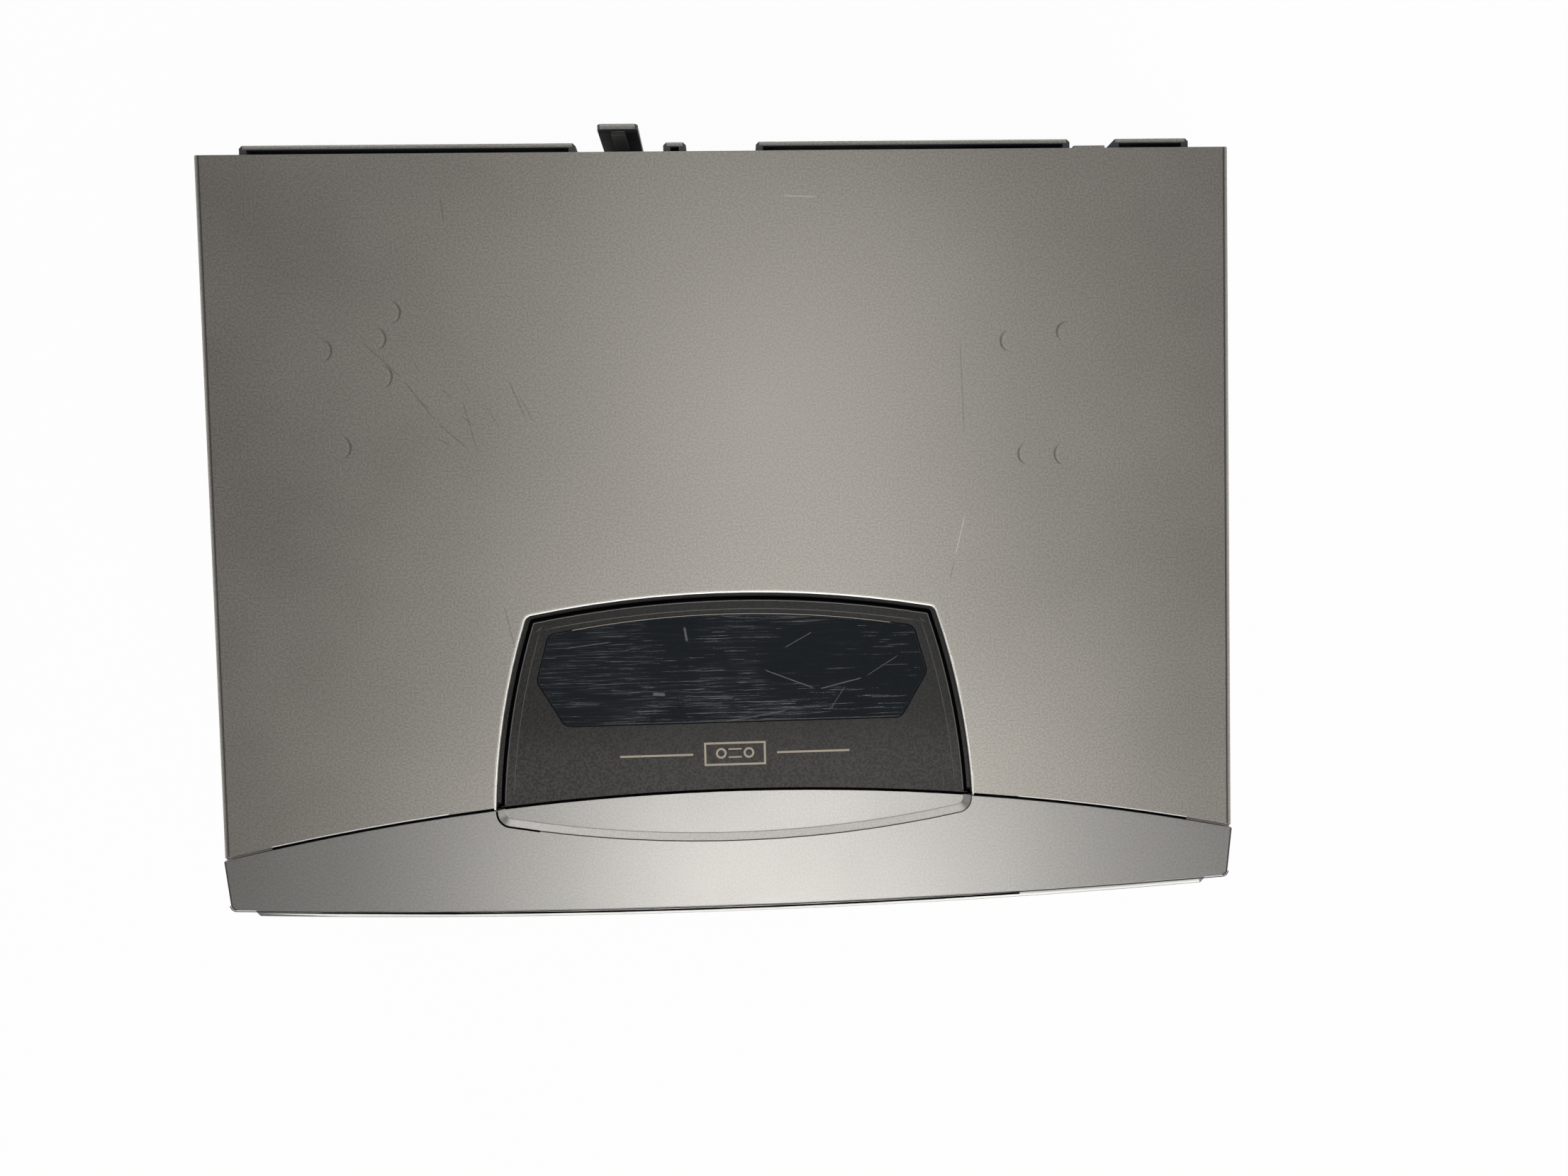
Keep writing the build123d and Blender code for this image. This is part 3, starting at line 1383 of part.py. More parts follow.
def idler_arm():
    """Arm that swings the idler wheel from reel to reel."""
    z0 = drive_z + drive_thick + 0.4
    z1 = z0 + idler_arm_thick
    end_y = clutch_y - idler_length()
    arm = block(-4, 4, end_y, clutch_y, z0, z1)
    arm += post(0, clutch_y, z0, z1, 5.5) + post(0, end_y, z0, z1, 4.0)
    arm += post(0, end_y, drive_z - 0.5, z1, idler_stud_r)
    return arm - post(0, clutch_y, z0 - 1, z1 + 1, capstan_r + fit)


def idler_wheel():
    """Wheel with a rubber tread between clutch and reel."""
    y = clutch_y - idler_length()
    wheel = post(0, y, drive_z, drive_z + drive_thick, idler_wheel_r)
    wheel = chamfer(wheel.edges(), 0.4)
    return wheel - post(0, y, drive_z - 1, drive_z + drive_thick + 1, idler_stud_r + running)


def pinch_end():
    """Place of the pinch roller at rest."""
    angle = radians(270 + pinch_swing)
    return (pinch_x + pinch_length * cos(angle), pinch_y + pinch_length * sin(angle))


def bar_between(first, second, width, z0, z1):
    """Bar with round ends between two upright axes."""
    dx = second[0] - first[0]
    dy = second[1] - first[1]
    length = hypot(dx, dy)
    turn = degrees(atan2(dy, dx))
    middle = Pos((first[0] + second[0]) / 2, (first[1] + second[1]) / 2, (z0 + z1) / 2)
    bar = middle * Rot(0, 0, turn) * Box(length, width, z1 - z0)
    for end in (first, second):
        bar += post(end[0], end[1], z0, z1, width / 2)
    return bar


def pinch_arm():
    """Arm over the pinch roller, on a tall hub."""
    end = pinch_end()
    z0 = roller_z1 + 0.5
    arm = bar_between((pinch_x, pinch_y), end, 8.0, z0, z0 + 2.5)
    arm += post(pinch_x, pinch_y, deck_top + 0.4, z0 + 2.5, 5.0)
    arm += post(end[0], end[1], roller_z0 - 0.5, z0 + 1, 1.5)
    return arm - post(pinch_x, pinch_y, deck_z, roller_z1 - 2 + fit, 2.5 + running)


def pinch_roller():
    """Rubber roller that presses the tape to the capstan."""
    x, y = pinch_end()
    roller = post(x, y, roller_z0, roller_z1, roller_r)
    roller = chamfer(roller.edges(), 0.5)
    return roller - post(x, y, roller_z0 - 1, roller_z1 + 1, 1.5 + running)


def tension_arm():
    """Arm with the post that feels the tape's tension."""
    angle = radians(tension_angle)
    end = (tension_x + tension_length * cos(angle), tension_y + tension_length * sin(angle))
    z0 = drive_z + 4.5
    arm = bar_between((tension_x, tension_y), end, 6.0, z0, z0 + 1.5)
    arm += post(tension_x, tension_y, deck_top + 0.3, z0 + 1.5, 4.5)
    arm += post(end[0], end[1], z0, tension_post_top, 1.5)
    arm += post(end[0], end[1], tension_post_top - 1.5, tension_post_top, 2.5)
    return arm - post(tension_x, tension_y, deck_z, z0 + 3, 2.0 + running)


def cam_gear():
    """Large mode gear with its cam track."""
    face = gear_outline(cam_module, cam_teeth, cam_stud_r + running)
    gear = Pos(cam_x, cam_y, drive_z) * Rot(0, 0, pinion_angle) * extrude(face, amount=cam_thick)
    track = post(cam_x + 3, cam_y, drive_z + cam_thick - 1.5, drive_z + cam_thick + 1, 12.0)
    track -= post(cam_x + 3, cam_y, drive_z, drive_z + cam_thick + 2, 9.5)
    return gear - track


def motor_pinion():
    """Pinion on the loading motor's shaft."""
    face = gear_outline(cam_module, pinion_teeth, motor_shaft_r + running)
    turn = pinion_angle + 180 + 180 / pinion_teeth
    return Pos(pinion_x, pinion_y, drive_z) * Rot(0, 0, turn) * extrude(face, amount=cam_thick)


def loading_motor():
    """Small motor hung under the deck."""
    can = post(pinion_x, pinion_y, deck_z - motor_height, deck_z, motor_r)
    can = fillet(can.edges().group_by(Axis.Z)[0], 1.5)
    neck = post(pinion_x, pinion_y, deck_z - 0.5, deck_z + 1.5, 2.5)
    return can + neck + post(pinion_x, pinion_y, deck_z, drive_z + cam_thick, motor_shaft_r)


def tape_heads():
    """Sound head beside the capstan and erase head on the supply side."""
    solids = []
    for x, y, wide in ((56.0, drum_y - 0.5, 8.0), (-62.0, drum_y - 8.5, 7.0)):
        head = block(x - wide / 2, x + wide / 2, y - 3.5, y + 3.5, deck_top, head_top)
        head = fillet(head.edges().filter_by(Axis.Z).group_by(Axis.Y)[0], 2.0)
        solids.append(head)
    return Compound(children=solids)


def main_board():
    """Main board with its larger parts."""
    x1 = frame_half - frame_wall - 4.0
    y0 = joint_y + 8.0
    y1 = panel_y0 - 16.0
    board = block(power_x1 + 2.0, x1, y0, y1, main_board_z, board_z1)
    for x, y in deck_posts():
        board -= post(x, y, main_board_z - 1, board_z1 + 1, post_r + 1)
    chips = (
        (-60.0, y0 + 47.5, 22.0, 22.0),
        (10.0, y0 + 29.5, 26.0, 12.0),
        (x1 - 33.0, y0 + 67.5, 24.0, 24.0),
    )
    for x, y, wide, deep in chips:
        board += block(x - wide / 2, x + wide / 2, y - deep / 2, y + deep / 2, board_z1, board_z1 + 3.0)
    for step in range(6):
        board += post(x1 - 14.0, y0 + 37.5 + 18.0 * step, board_z1, board_z1 + 12.0, 5.0)
    return board


def power_board():
    """Supply board with its capacitors and heat sink."""
    x1 = power_x1
    board = block(power_x0, x1, power_y0, power_y0 + power_depth, main_board_z, board_z1)
    for step in range(4):
        board += post(power_x0 + 12.0, power_y0 + 10.0 + 15.0 * step, board_z1, board_z1 + 24.0, 6.0)
    for step in range(4):
        x = x1 - 16.0 + 4.0 * step
        board += block(x, x + 1.2, power_y0 + 4.0, power_y0 + 40.0, board_z1, board_z1 + 26.0)
    return board


def transformer():
    """Mains transformer on the supply board."""
    wide, deep, tall = transformer_size
    place = Pos((power_x0 + power_x1) / 2, power_y0 + 88.0, board_z1 + tall / 2)
    core = place * Box(wide, deep, tall)
    core = chamfer(core.edges().filter_by(Axis.Z), 1.5)
    coil = place * Box(wide - 14, deep + 10, tall - 10)
    return core + fillet(coil.edges().filter_by(Axis.Z), 3.0)


def ribbon_cable():
    """Flat cable from the front board down to the main board."""
    y0 = front_board_y + board_thick
    run = 6.0
    thick = 0.5
    z1 = frame_z + frame_height + 15.0
    upper = block(30.0, 60.0, y0, y0 + thick, z1 - 12, z1)
    lower_y = joint_y + 12.0
    lower = block(30.0, 60.0, y0, lower_y, z1 - 12, z1 - 12 + thick)
    fall = block(30.0, 60.0, lower_y - thick, lower_y, board_z1, z1 - 12 + thick)
    plug = block(29.0, 61.0, lower_y - run / 2, lower_y + run / 2, board_z1, board_z1 + 4.0)
    return upper + lower + fall + plug


def tuner_module():
    """Screened tuner with two aerial sockets."""
    x0 = aerial_x - tuner_width / 2
    x1 = aerial_x + tuner_width / 2
    y1 = panel_y0 - fit
    can = block(x0, x1, y1 - tuner_depth, y1 - 1.7, board_z1, top_z - tuner_drop)
    can = chamfer(can.edges().filter_by(Axis.Z), 1.0)
    for z in aerial_zs:
        socket = pin_along_y(aerial_x, y1 - 2.0, y1 + aerial_reach, z, aerial_r)
        socket -= pin_along_y(aerial_x, y1 + 3.0, y1 + aerial_reach + 1.0, z, aerial_bore_r)
        can += socket + pin_along_y(aerial_x, y1 + 2.0, y1 + aerial_reach - 2.0, z, 0.5)
    return can


def channel_switch():
    """Small slide switch between the aerial sockets."""
    plate_y1 = panel_y0 - fit
    plate = block(aerial_x - 5, aerial_x + 5, plate_y1 - 1.3, plate_y1, select_z - 4, select_z + 4)
    knob = plate_round(aerial_x, select_z, select_width, select_height, plate_y1 - 0.5, pad_y1 + 1.5)
    return plate + knob


def rear_av_jacks():
    """Six phono jacks on one plate behind the panel."""
    x0, x1, z0, z1 = rear_jack_window()
    solid = block(x0 - 3, x1 + 3, panel_y0 - jack_plate, panel_y0, z0 - 3, z1 + 3)
    for x in rear_jack_xs:
        for z in rear_jack_zs:
            solid += phono_jack(x, panel_y0 - 0.5, rear_jack_tip_y, z)
    return solid


def ac_inlet():
    """Two-pole mains inlet with its figure-eight socket."""
    y1 = panel_y1 + 2.0
    floor_y = y1 - inlet_hole_depth
    body = plate_round(inlet_x, inlet_z, inlet_width, inlet_height, panel_y1 - inlet_depth, y1)
    wide = inlet_width + 2 * inlet_flange
    tall = inlet_height + 2 * inlet_flange
    flange = plate_round(inlet_x, inlet_z, wide, tall, panel_y1, y1)
    solid = body + fillet(flange.edges().filter_by(Axis.Y), 2.0)
    solid -= plate_round(inlet_x, inlet_z, inlet_pin_pitch, 2 * inlet_lobe_r, floor_y, y1 + 1)
    pin_xs = (inlet_x - inlet_pin_pitch / 2, inlet_x + inlet_pin_pitch / 2)
    for x in pin_xs:
        solid -= pin_along_y(x, floor_y, y1 + 1, inlet_z, inlet_lobe_r)
    for x in pin_xs:
        solid += pin_along_y(x, floor_y - 0.5, y1 - 2.0, inlet_z, inlet_pin_r)
    return solid


nodes = {
    "top_cover": top_cover(),
    "front_bezel": front_bezel(),
    "front_fascia": front_fascia(),
    "viewer_frame": viewer_frame(),
    "viewer_lens": viewer_lens(),
    "display_window": display_window(),
    "display_tube": display_tube(),
    "rear_panel": rear_panel(),
    "cord_hook": cord_hook(),
    "bottom_frame": bottom_frame(),
    "bottom_plate": bottom_plate(),
    "feet": feet(),
    "case_screws": case_screws(),
    "cassette_door": cassette_door(),
    "door_spring": door_spring(),
    "av_flap": av_flap(),
    "front_av_jacks": front_av_jacks(),
    "front_board": front_board(),
    "tuner_module": tuner_module(),
    "rear_av_jacks": rear_av_jacks(),
    "channel_switch": channel_switch(),
    "ac_inlet": ac_inlet(),
    "main_board": main_board(),
    "power_board": power_board(),
    "transformer": transformer(),
    "ribbon_cable": ribbon_cable(),
    "deck_chassis": deck_chassis(),
    "side_bracket_left": side_bracket_left(),
    "side_bracket_right": side_bracket_right(),
    "loader_slides": loader_slides(),
    "loading_gear": loading_gear(),
    "cassette_holder": cassette_holder(),
    "drum_base": drum_base(),
    "upper_drum": upper_drum(),
    "capstan_motor": capstan_motor(),
    "capstan_flywheel": capstan_flywheel(),
    "capstan_belt": capstan_belt(),
    "clutch_pulley": clutch_pulley(),
    "pinch_arm": pinch_arm(),
    "pinch_roller": pinch_roller(),
    "supply_reel": reel(-1),
    "takeup_reel": reel(1),
    "idler_arm": idler_arm(),
    "idler_wheel": idler_wheel(),
    "tension_arm": tension_arm(),
    "supply_guide": guide(-1),
    "takeup_guide": guide(1),
    "cam_gear": cam_gear(),
    "motor_pinion": motor_pinion(),
    "loading_motor": loading_motor(),
    "tape_heads": tape_heads(),
}
for name, place in buttons.items():
    nodes[name] = button(*place)

os.makedirs("parts", exist_ok=True)
for name, solid in nodes.items():
    export_step(solid, f"parts/{name}.step")
print(len(nodes), "nodes")
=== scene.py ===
import json
import math
import bpy
import bmesh
from mathutils import Matrix, Vector


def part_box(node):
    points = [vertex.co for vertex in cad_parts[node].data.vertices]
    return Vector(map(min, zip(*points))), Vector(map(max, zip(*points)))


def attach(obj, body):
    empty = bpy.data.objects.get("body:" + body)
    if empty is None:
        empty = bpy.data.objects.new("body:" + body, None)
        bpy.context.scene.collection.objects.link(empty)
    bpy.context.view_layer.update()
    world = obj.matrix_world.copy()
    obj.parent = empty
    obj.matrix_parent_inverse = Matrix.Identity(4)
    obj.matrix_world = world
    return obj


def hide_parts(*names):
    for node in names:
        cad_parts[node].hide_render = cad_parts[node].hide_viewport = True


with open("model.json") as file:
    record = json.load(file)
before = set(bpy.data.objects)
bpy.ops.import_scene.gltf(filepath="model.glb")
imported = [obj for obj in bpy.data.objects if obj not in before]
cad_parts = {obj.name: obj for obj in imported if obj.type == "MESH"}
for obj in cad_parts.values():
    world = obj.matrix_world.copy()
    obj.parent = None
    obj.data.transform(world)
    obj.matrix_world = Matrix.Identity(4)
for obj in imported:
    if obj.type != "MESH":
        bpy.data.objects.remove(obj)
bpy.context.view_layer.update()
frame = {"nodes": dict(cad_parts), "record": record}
nodes = frame["nodes"]
mm = 0.001
bodyOf = {node: body for body, members in frame["record"]["behaviour"]["bodies"].items() for node in members}
slotOf = {part["node"]: part["material_slot"] for part in frame["record"]["subparts"]}


def srgb(red, green, blue, alpha=1.0):
    channels = [value / 255 for value in (red, green, blue)]
    linear = [c / 12.92 if c <= 0.04045 else ((c + 0.055) / 1.055) ** 2.4 for c in channels]
    return (*linear, alpha)


# shader sockets that take part in Python sums
class Value:
    def __init__(self, owner, socket):
        self.owner = owner
        self.socket = socket

    def join(self, operation, first, second):
        return self.owner.node("ShaderNodeMath", {"operation": operation}, {0: first, 1: second})

    def __add__(self, other): return self.join("ADD", self, other)
    def __radd__(self, other): return self.join("ADD", other, self)
    def __sub__(self, other): return self.join("SUBTRACT", self, other)
    def __rsub__(self, other): return self.join("SUBTRACT", other, self)
    def __mul__(self, other): return self.join("MULTIPLY", self, other)
    def __rmul__(self, other): return self.join("MULTIPLY", other, self)
    def __lt__(self, other): return self.join("LESS_THAN", self, other)
    def __gt__(self, other): return self.join("GREATER_THAN", self, other)


class NodeTree:
    def node(self, kind, settings, inputs, output=0):
        made = self.tree.nodes.new(kind)
        for key, value in settings.items():
            setattr(made, key, value)
        for key, value in inputs.items():
            if isinstance(value, Value):
                self.tree.links.new(value.socket, made.inputs[key])
            else:
                made.inputs[key].default_value = value
        return Value(self, made.outputs[output])


class Finish(NodeTree):
    def __init__(self, name, color, rough=0.5, metal=0.0, coat=0.0, specular=0.5):
        self.material = bpy.data.materials.new(name)
        self.material.use_nodes = True
        self.tree = self.material.node_tree
        self.shader = self.tree.nodes["Principled BSDF"]
        self.color = color
        self.put("Base Color", color)
        self.put("Roughness", rough)
        self.put("Metallic", metal)
        self.put("Coat Weight", coat)
        self.shader.inputs["Coat Roughness"].default_value = 0.4
        self.shader.inputs["Specular IOR Level"].default_value = specular
        self.place = self.node("ShaderNodeTexCoord", {}, {}, "Object")

    def put(self, socket, value):
        if isinstance(value, Value):
            self.tree.links.new(value.socket, self.shader.inputs[socket])
        else:
            self.shader.inputs[socket].default_value = value

    def moved(self, turn=(0, 0, 0), scale=(1, 1, 1), shift=(0, 0, 0)):
        turn = [math.radians(angle) for angle in turn]
        return self.node("ShaderNodeMapping", {}, {"Vector": self.place, "Rotation": turn, "Scale": scale, "Location": shift})

    def noise(self, scale, detail=2.0, place=None):
        inputs = {"Vector": place or self.place, "Scale": scale, "Detail": detail}
        return self.node("ShaderNodeTexNoise", {}, inputs)

    def step(self, value, low, high):
        inputs = {"Value": value, "From Min": low, "From Max": high}
        return self.node("ShaderNodeMapRange", {"interpolation_type": "SMOOTHSTEP"}, inputs)

    def axis(self, name):
        return self.node("ShaderNodeSeparateXYZ", {}, {0: self.place}, name)

    def mix(self, factor, first, second):
        inputs = {0: factor, 6: first, 7: second}
        return self.node("ShaderNodeMix", {"data_type": "RGBA"}, inputs, 2)

    def shade(self, factor, dark, light):
        self.color = self.mix(factor, tint(self.color, dark), tint(self.color, light))
        self.put("Base Color", self.color)

    def bump(self, height, distance, strength=1.0):
        inputs = {"Height": height, "Distance": distance, "Strength": strength}
        self.put("Normal", self.node("ShaderNodeBump", {}, inputs))

    # distance on the top view from a point, in metres
    def away(self, x, y):
        flat = self.node("ShaderNodeVectorMath", {"operation": "MULTIPLY"}, {0: self.place, 1: (1, 1, 0)})
        return self.node("ShaderNodeVectorMath", {"operation": "DISTANCE"}, {0: flat, 1: (x * mm, y * mm, 0)}, "Value")

    # 1 inside a thin straight stroke from one point to another
    def stroke(self, x0, y0, x1, y1, width):
        length = math.hypot(x1 - x0, y1 - y0) * mm
        turn = math.degrees(math.atan2(y1 - y0, x1 - x0))
        across = (-math.sin(math.radians(turn)), math.cos(math.radians(turn)), 0)
        along = (math.cos(math.radians(turn)), math.sin(math.radians(turn)), 0)
        start = (x0 * mm, y0 * mm, 0)
        fromStart = self.node("ShaderNodeVectorMath", {"operation": "SUBTRACT"}, {0: self.place, 1: start})
        side = self.node("ShaderNodeVectorMath", {"operation": "DOT_PRODUCT"}, {0: fromStart, 1: across}, "Value")
        run = self.node("ShaderNodeVectorMath", {"operation": "DOT_PRODUCT"}, {0: fromStart, 1: along}, "Value")
        off = self.node("ShaderNodeMath", {"operation": "ABSOLUTE"}, {0: side})
        line = self.step(off, width * mm, 0.0)
        return line * self.step(run, 0.0, length * 0.2) * self.step(run, length, length * 0.8)


def tint(color, amount):
    if isinstance(color, Value):
        inputs = {"Color": color, "Value": amount}
        return color.owner.node("ShaderNodeHueSaturation", {}, inputs)
    return (*[min(1.0, channel * amount) for channel in color[:3]], 1.0)


coverPaint = {
    "color": srgb(149, 145, 138),
    "rough": 0.45,
    "metal": 0.92,
    # x, y, size and turn of each crescent dent; each dent's dark crescent is painted shade
    "dents": [(-134.3, 27.2, 4.2, 0), (-119.3, 51.5, 4.2, 0), (-139.6, 60.8, 4.2, 0), (-115.7, 73.5, 4.2, 0),
              (-121, 64.5, 4.2, 0), (107, 20.5, 4.2, 185), (120, 20.2, 4.2, 185), (101, 60.5, 4.0, 185),
              (121, 63.5, 3.8, 160)],
    # x0, y0, x1, y1, width and lightness of each scratch
    "scratches": [(-112, 50.5, -101, 35.5, 0.35, -1), (-101, 35.5, -90, 25.5, 0.3, -1), (-76, 50.5, -70, 35.5, 0.35, -1), (-126, 64, -112, 50.5, 0.3, -1), (-92, 44, -87, 24, 0.28, -1),
                  (-72, 44, -67, 34, 0.25, -1), (83, 62, 84, 26, 0.3, -1), (84, 0, 80, -16, 0.35, 1),
                  (80, -16, 78, -24, 0.3, -1), (-80, -28, -76, -46, 0.3, -1), (-97, 113, -96, 104, 0.3, -1),
                  (20, 112, 34, 111.4, 0.35, 1), (-107, 43, -103, 40, 0.22, -1), (-99, 47, -95, 43.5, 0.2, -1),
                  (-93, 38, -88, 34, 0.22, -1), (-101, 30, -96, 27, 0.2, -1), (-91, 49.5, -89, 45, 0.2, -1),
                  (-108, 57, -106, 52, 0.2, -1), (-84, 41, -79, 33, 0.18, -1)],
}


def paintedCover():
    set = coverPaint
    finish = Finish("champagnePaint", set["color"], set["rough"], set["metal"], coat=0.12)
    flake = finish.noise(1500, 3.0)
    cloud = finish.noise(14, 3.0)
    finish.shade(finish.step(flake, 0.35, 0.65), 0.86, 1.13)
    finish.shade(finish.step(cloud, 0.3, 0.7), 0.96, 1.03)
    top = finish.axis("Z") > 93.2 * mm
    height = finish.step(finish.noise(1400, 2.0), 0.3, 0.7) * 0.02
    dark = None
    light = None
    # each dent: a crescent of painted shade on one side, and a shallow hollow in the bump
    for x, y, size, turn in set["dents"]:
        reach = size * mm
        turned = math.radians(turn)
        near = finish.away(x, y)
        behind = finish.away(x - 1.5 * math.cos(turned), y - 1.5 * math.sin(turned))
        crescent = finish.step(near, reach, reach * 0.85) * finish.step(behind, reach * 0.95, reach * 1.2) * top
        height = height - crescent * 0.3
        dark = crescent * 1.3 if dark is None else dark + crescent * 1.3
    for x0, y0, x1, y1, width, lightness in set["scratches"]:
        line = finish.stroke(x0, y0, x1, y1, width) * top
        if lightness > 0:
            light = line if light is None else light + line
        else:
            dark = line if dark is None else dark + line
    # dark carries the dents' painted shade and the dark scratches; light carries the light scratches
    finish.color = finish.mix(dark * 0.46, finish.color, tint(set["color"], 0.3))
    finish.color = finish.mix(light * 0.3, finish.color, srgb(225, 222, 214))
    finish.put("Base Color", finish.color)
    finish.put("Roughness", set["rough"] + (flake - 0.5) * 0.12 + (cloud - 0.5) * 0.08)
    finish.bump(height, 0.00016)
    return finish.material


bezelPaint = {"color": srgb(147, 145, 141), "rough": 0.42, "metal": 0.92}


def paintedBezel(name, set):
    finish = Finish(name, set["color"], set["rough"], set["metal"], coat=0.18)
    flake = finish.noise(1500, 3.0)
    cloud = finish.noise(20, 2.0)
    finish.shade(finish.step(flake, 0.35, 0.65), 0.9, 1.09)
    finish.put("Roughness", set["rough"] + (flake - 0.5) * 0.1 + (cloud - 0.5) * 0.06)
    scuffs = finish.step(finish.noise(900, 3.0, finish.moved(scale=(0.08, 1, 1))), 0.72, 0.8)
    finish.put("Base Color", finish.mix(scuffs * 0.12, finish.color, srgb(120, 117, 112)))
    finish.bump(finish.noise(1800, 2.0), 0.00001)
    return finish.material


# moulded plastic with a fine spark-eroded grain, and, when asked, painted light that grows lighter along y
def mouldedPlastic(name, color, rough=0.5, grain=2600, depth=0.00004, speckle=0.16, paintedLightFade=None, specular=0.5):
    finish = Finish(name, color, rough, specular=specular)
    # painted light: lighter towards y = near and darker towards y = far, for how the light falls on the part
    if paintedLightFade:
        near, far, light = paintedLightFade
        finish.shade(finish.step(finish.axis("Y"), far * mm, near * mm), 0.86, light)
    grains = finish.noise(grain, 3.0)
    cloud = finish.noise(30, 3.0)
    finish.shade(finish.step(grains, 0.35, 0.65), 1 - speckle, 1 + speckle)
    finish.shade(finish.step(cloud, 0.3, 0.7), 0.94, 1.05)
    finish.put("Roughness", rough + (cloud - 0.5) * 0.16)
    finish.bump(grains, depth)
    return finish.material


scratchedLens = {
    "color": srgb(30, 34, 38),
    "rough": 0.07,
    "alpha": 0.86,
    # turn, stretch, grain, how rare, how strong and on which side each family of scratches is
    "families": [(1, 0.018, 2600, 0.5, 0.16, -1), (-2, 0.022, 2200, 0.52, 0.16, -1), (2, 0.04, 1900, 0.6, 0.3, -1), (0, 0.02, 1300, 0.63, 0.3, -1),
                 (32, 0.03, 1500, 0.62, 0.35, 1), (-34, 0.03, 1300, 0.62, 0.35, 1), (55, 0.04, 1500, 0.66, 0.4, 1)],
    "strokes": [(10, -54, 30, -62, 0.25), (30, -62, 47, -58, 0.25), (47, -58, 60, -50, 0.2), (-29, -62, -24, -62.4, 0.8), (-17, -38, -16, -44, 0.7),
                (18, -47, 29, -41, 0.2), (34, -70, 40, -61, 0.2), (-60, -45, -42, -43, 0.2), (-5, -73, 20, -69, 0.2)],
}


def clearLens():
    set = scratchedLens
    finish = Finish("scratchedLens", set["color"], set["rough"], specular=0.2)
    marks = None
    toRight = finish.step(finish.axis("X"), 20 * mm, 50 * mm)
    for turn, stretch, grain, rare, amount, side in set["families"]:
        place = finish.moved((0, 0, turn), (stretch, 1, 1))
        family = finish.step(finish.noise(grain, 2.0, place), rare, rare + 0.08) * amount
        family = family * (0.15 + toRight * 0.85 if side > 0 else 1.0 - toRight * 0.8)
        marks = family if marks is None else marks + family
    patches = finish.step(finish.noise(38, 2.0), 0.34, 0.6)
    marks = marks * (patches * 0.6 + 0.4)
    for x0, y0, x1, y1, width in set["strokes"]:
        marks = marks + finish.stroke(x0, y0, x1, y1, width)
    marks = finish.step(marks, 0.0, 1.0)
    finish.put("Base Color", finish.mix(marks * 0.42, set["color"], srgb(122, 124, 126)))
    finish.put("Roughness", set["rough"] + marks * 0.4)
    finish.put("Alpha", set["alpha"] + marks * 0.1)
    finish.bump(0 - marks, 0.00003)
    return finish.material


def smokedWindow():
    finish = Finish("smokedWindow", srgb(26, 24, 26), 0.08)
    dust = finish.step(finish.noise(260, 4.0), 0.62, 0.7)
    finish.put("Base Color", finish.mix(dust * 0.2, finish.color, srgb(90, 88, 86)))
    finish.put("Roughness", 0.06 + dust * 0.2)
    finish.put("Alpha", 0.62 + dust * 0.1)
    return finish.material


# rolled or drawn metal with a grain along one axis
def drawnMetal(name, color, rough=0.35, along=(1, 0.03, 1), metal=0.9, spots=0.0):
    finish = Finish(name, color, rough, metal)
    grain = finish.noise(1600, 3.0, finish.moved(scale=along))
    cloud = finish.noise(22, 3.0)
    finish.shade(finish.step(grain, 0.3, 0.7), 0.88, 1.08)
    finish.put("Roughness", rough + (grain - 0.5) * 0.2 + (cloud - 0.5) * 0.2)
    if spots:
        spangle = finish.node("ShaderNodeTexVoronoi", {}, {"Vector": finish.place, "Scale": 120.0}, "Color")
        finish.put("Base Color", finish.mix(spots, finish.color, finish.node("ShaderNodeHueSaturation", {}, {"Color": spangle, "Saturation": 0.0})))
    finish.bump(grain, 0.000008)
    return finish.material


# turned metal with fine rings round an upright axis
def turnedMetal(name, color, x, y, rough=0.22):
    finish = Finish(name, color, rough, 1.0)
    rings = finish.node("ShaderNodeMath", {"operation": "SINE"}, {0: finish.away(x, y) * 14000.0})
    cloud = finish.noise(60, 3.0)
    finish.shade(finish.step(rings, -1.0, 1.0), 0.9, 1.04)
    finish.put("Roughness", rough + (cloud - 0.5) * 0.14)
    finish.bump(rings, 0.000006)
    return finish.material


def softRubber(name, color, rough=0.72):
    finish = Finish(name, color, rough, specular=0.35)
    grain = finish.noise(1900, 4.0)
    dust = finish.step(finish.noise(120, 4.0), 0.5, 0.8)
    finish.shade(finish.step(grain, 0.3, 0.7), 0.85, 1.15)
    finish.put("Base Color", finish.mix(dust * 0.12, finish.color, srgb(120, 116, 110)))
    finish.put("Roughness", rough + (grain - 0.5) * 0.15)
    finish.bump(grain, 0.00005)
    return finish.material


# printed board with fine tracks under the lacquer
def lacqueredBoard(name, color, trackColor):
    finish = Finish(name, color, 0.38, coat=0.3)
    grid = {"Vector": finish.moved(turn=(0, 0, 90)), "Scale": 60.0, "Mortar Size": 0.035, "Brick Width": 0.9, "Row Height": 0.16}
    tracks = finish.node("ShaderNodeTexBrick", {"offset": 0.37, "squash": 1.6}, grid, "Fac")
    tracks = tracks * finish.step(finish.noise(55, 2.0), 0.42, 0.5)
    cloud = finish.noise(40, 3.0)
    finish.shade(finish.step(cloud, 0.3, 0.7), 0.9, 1.06)
    finish.put("Base Color", finish.mix(tracks * 0.5, finish.color, trackColor))
    finish.put("Roughness", 0.34 + (cloud - 0.5) * 0.2)
    finish.bump(tracks, 0.00003)
    return finish.material


def flatRibbon():
    finish = Finish("flatRibbon", srgb(205, 203, 196), 0.42)
    wires = finish.node("ShaderNodeMath", {"operation": "SINE"}, {0: finish.axis("X") * 4947.0})
    finish.shade(finish.step(wires, -0.6, 0.6), 0.72, 1.0)
    finish.bump(wires, 0.0001)
    return finish.material


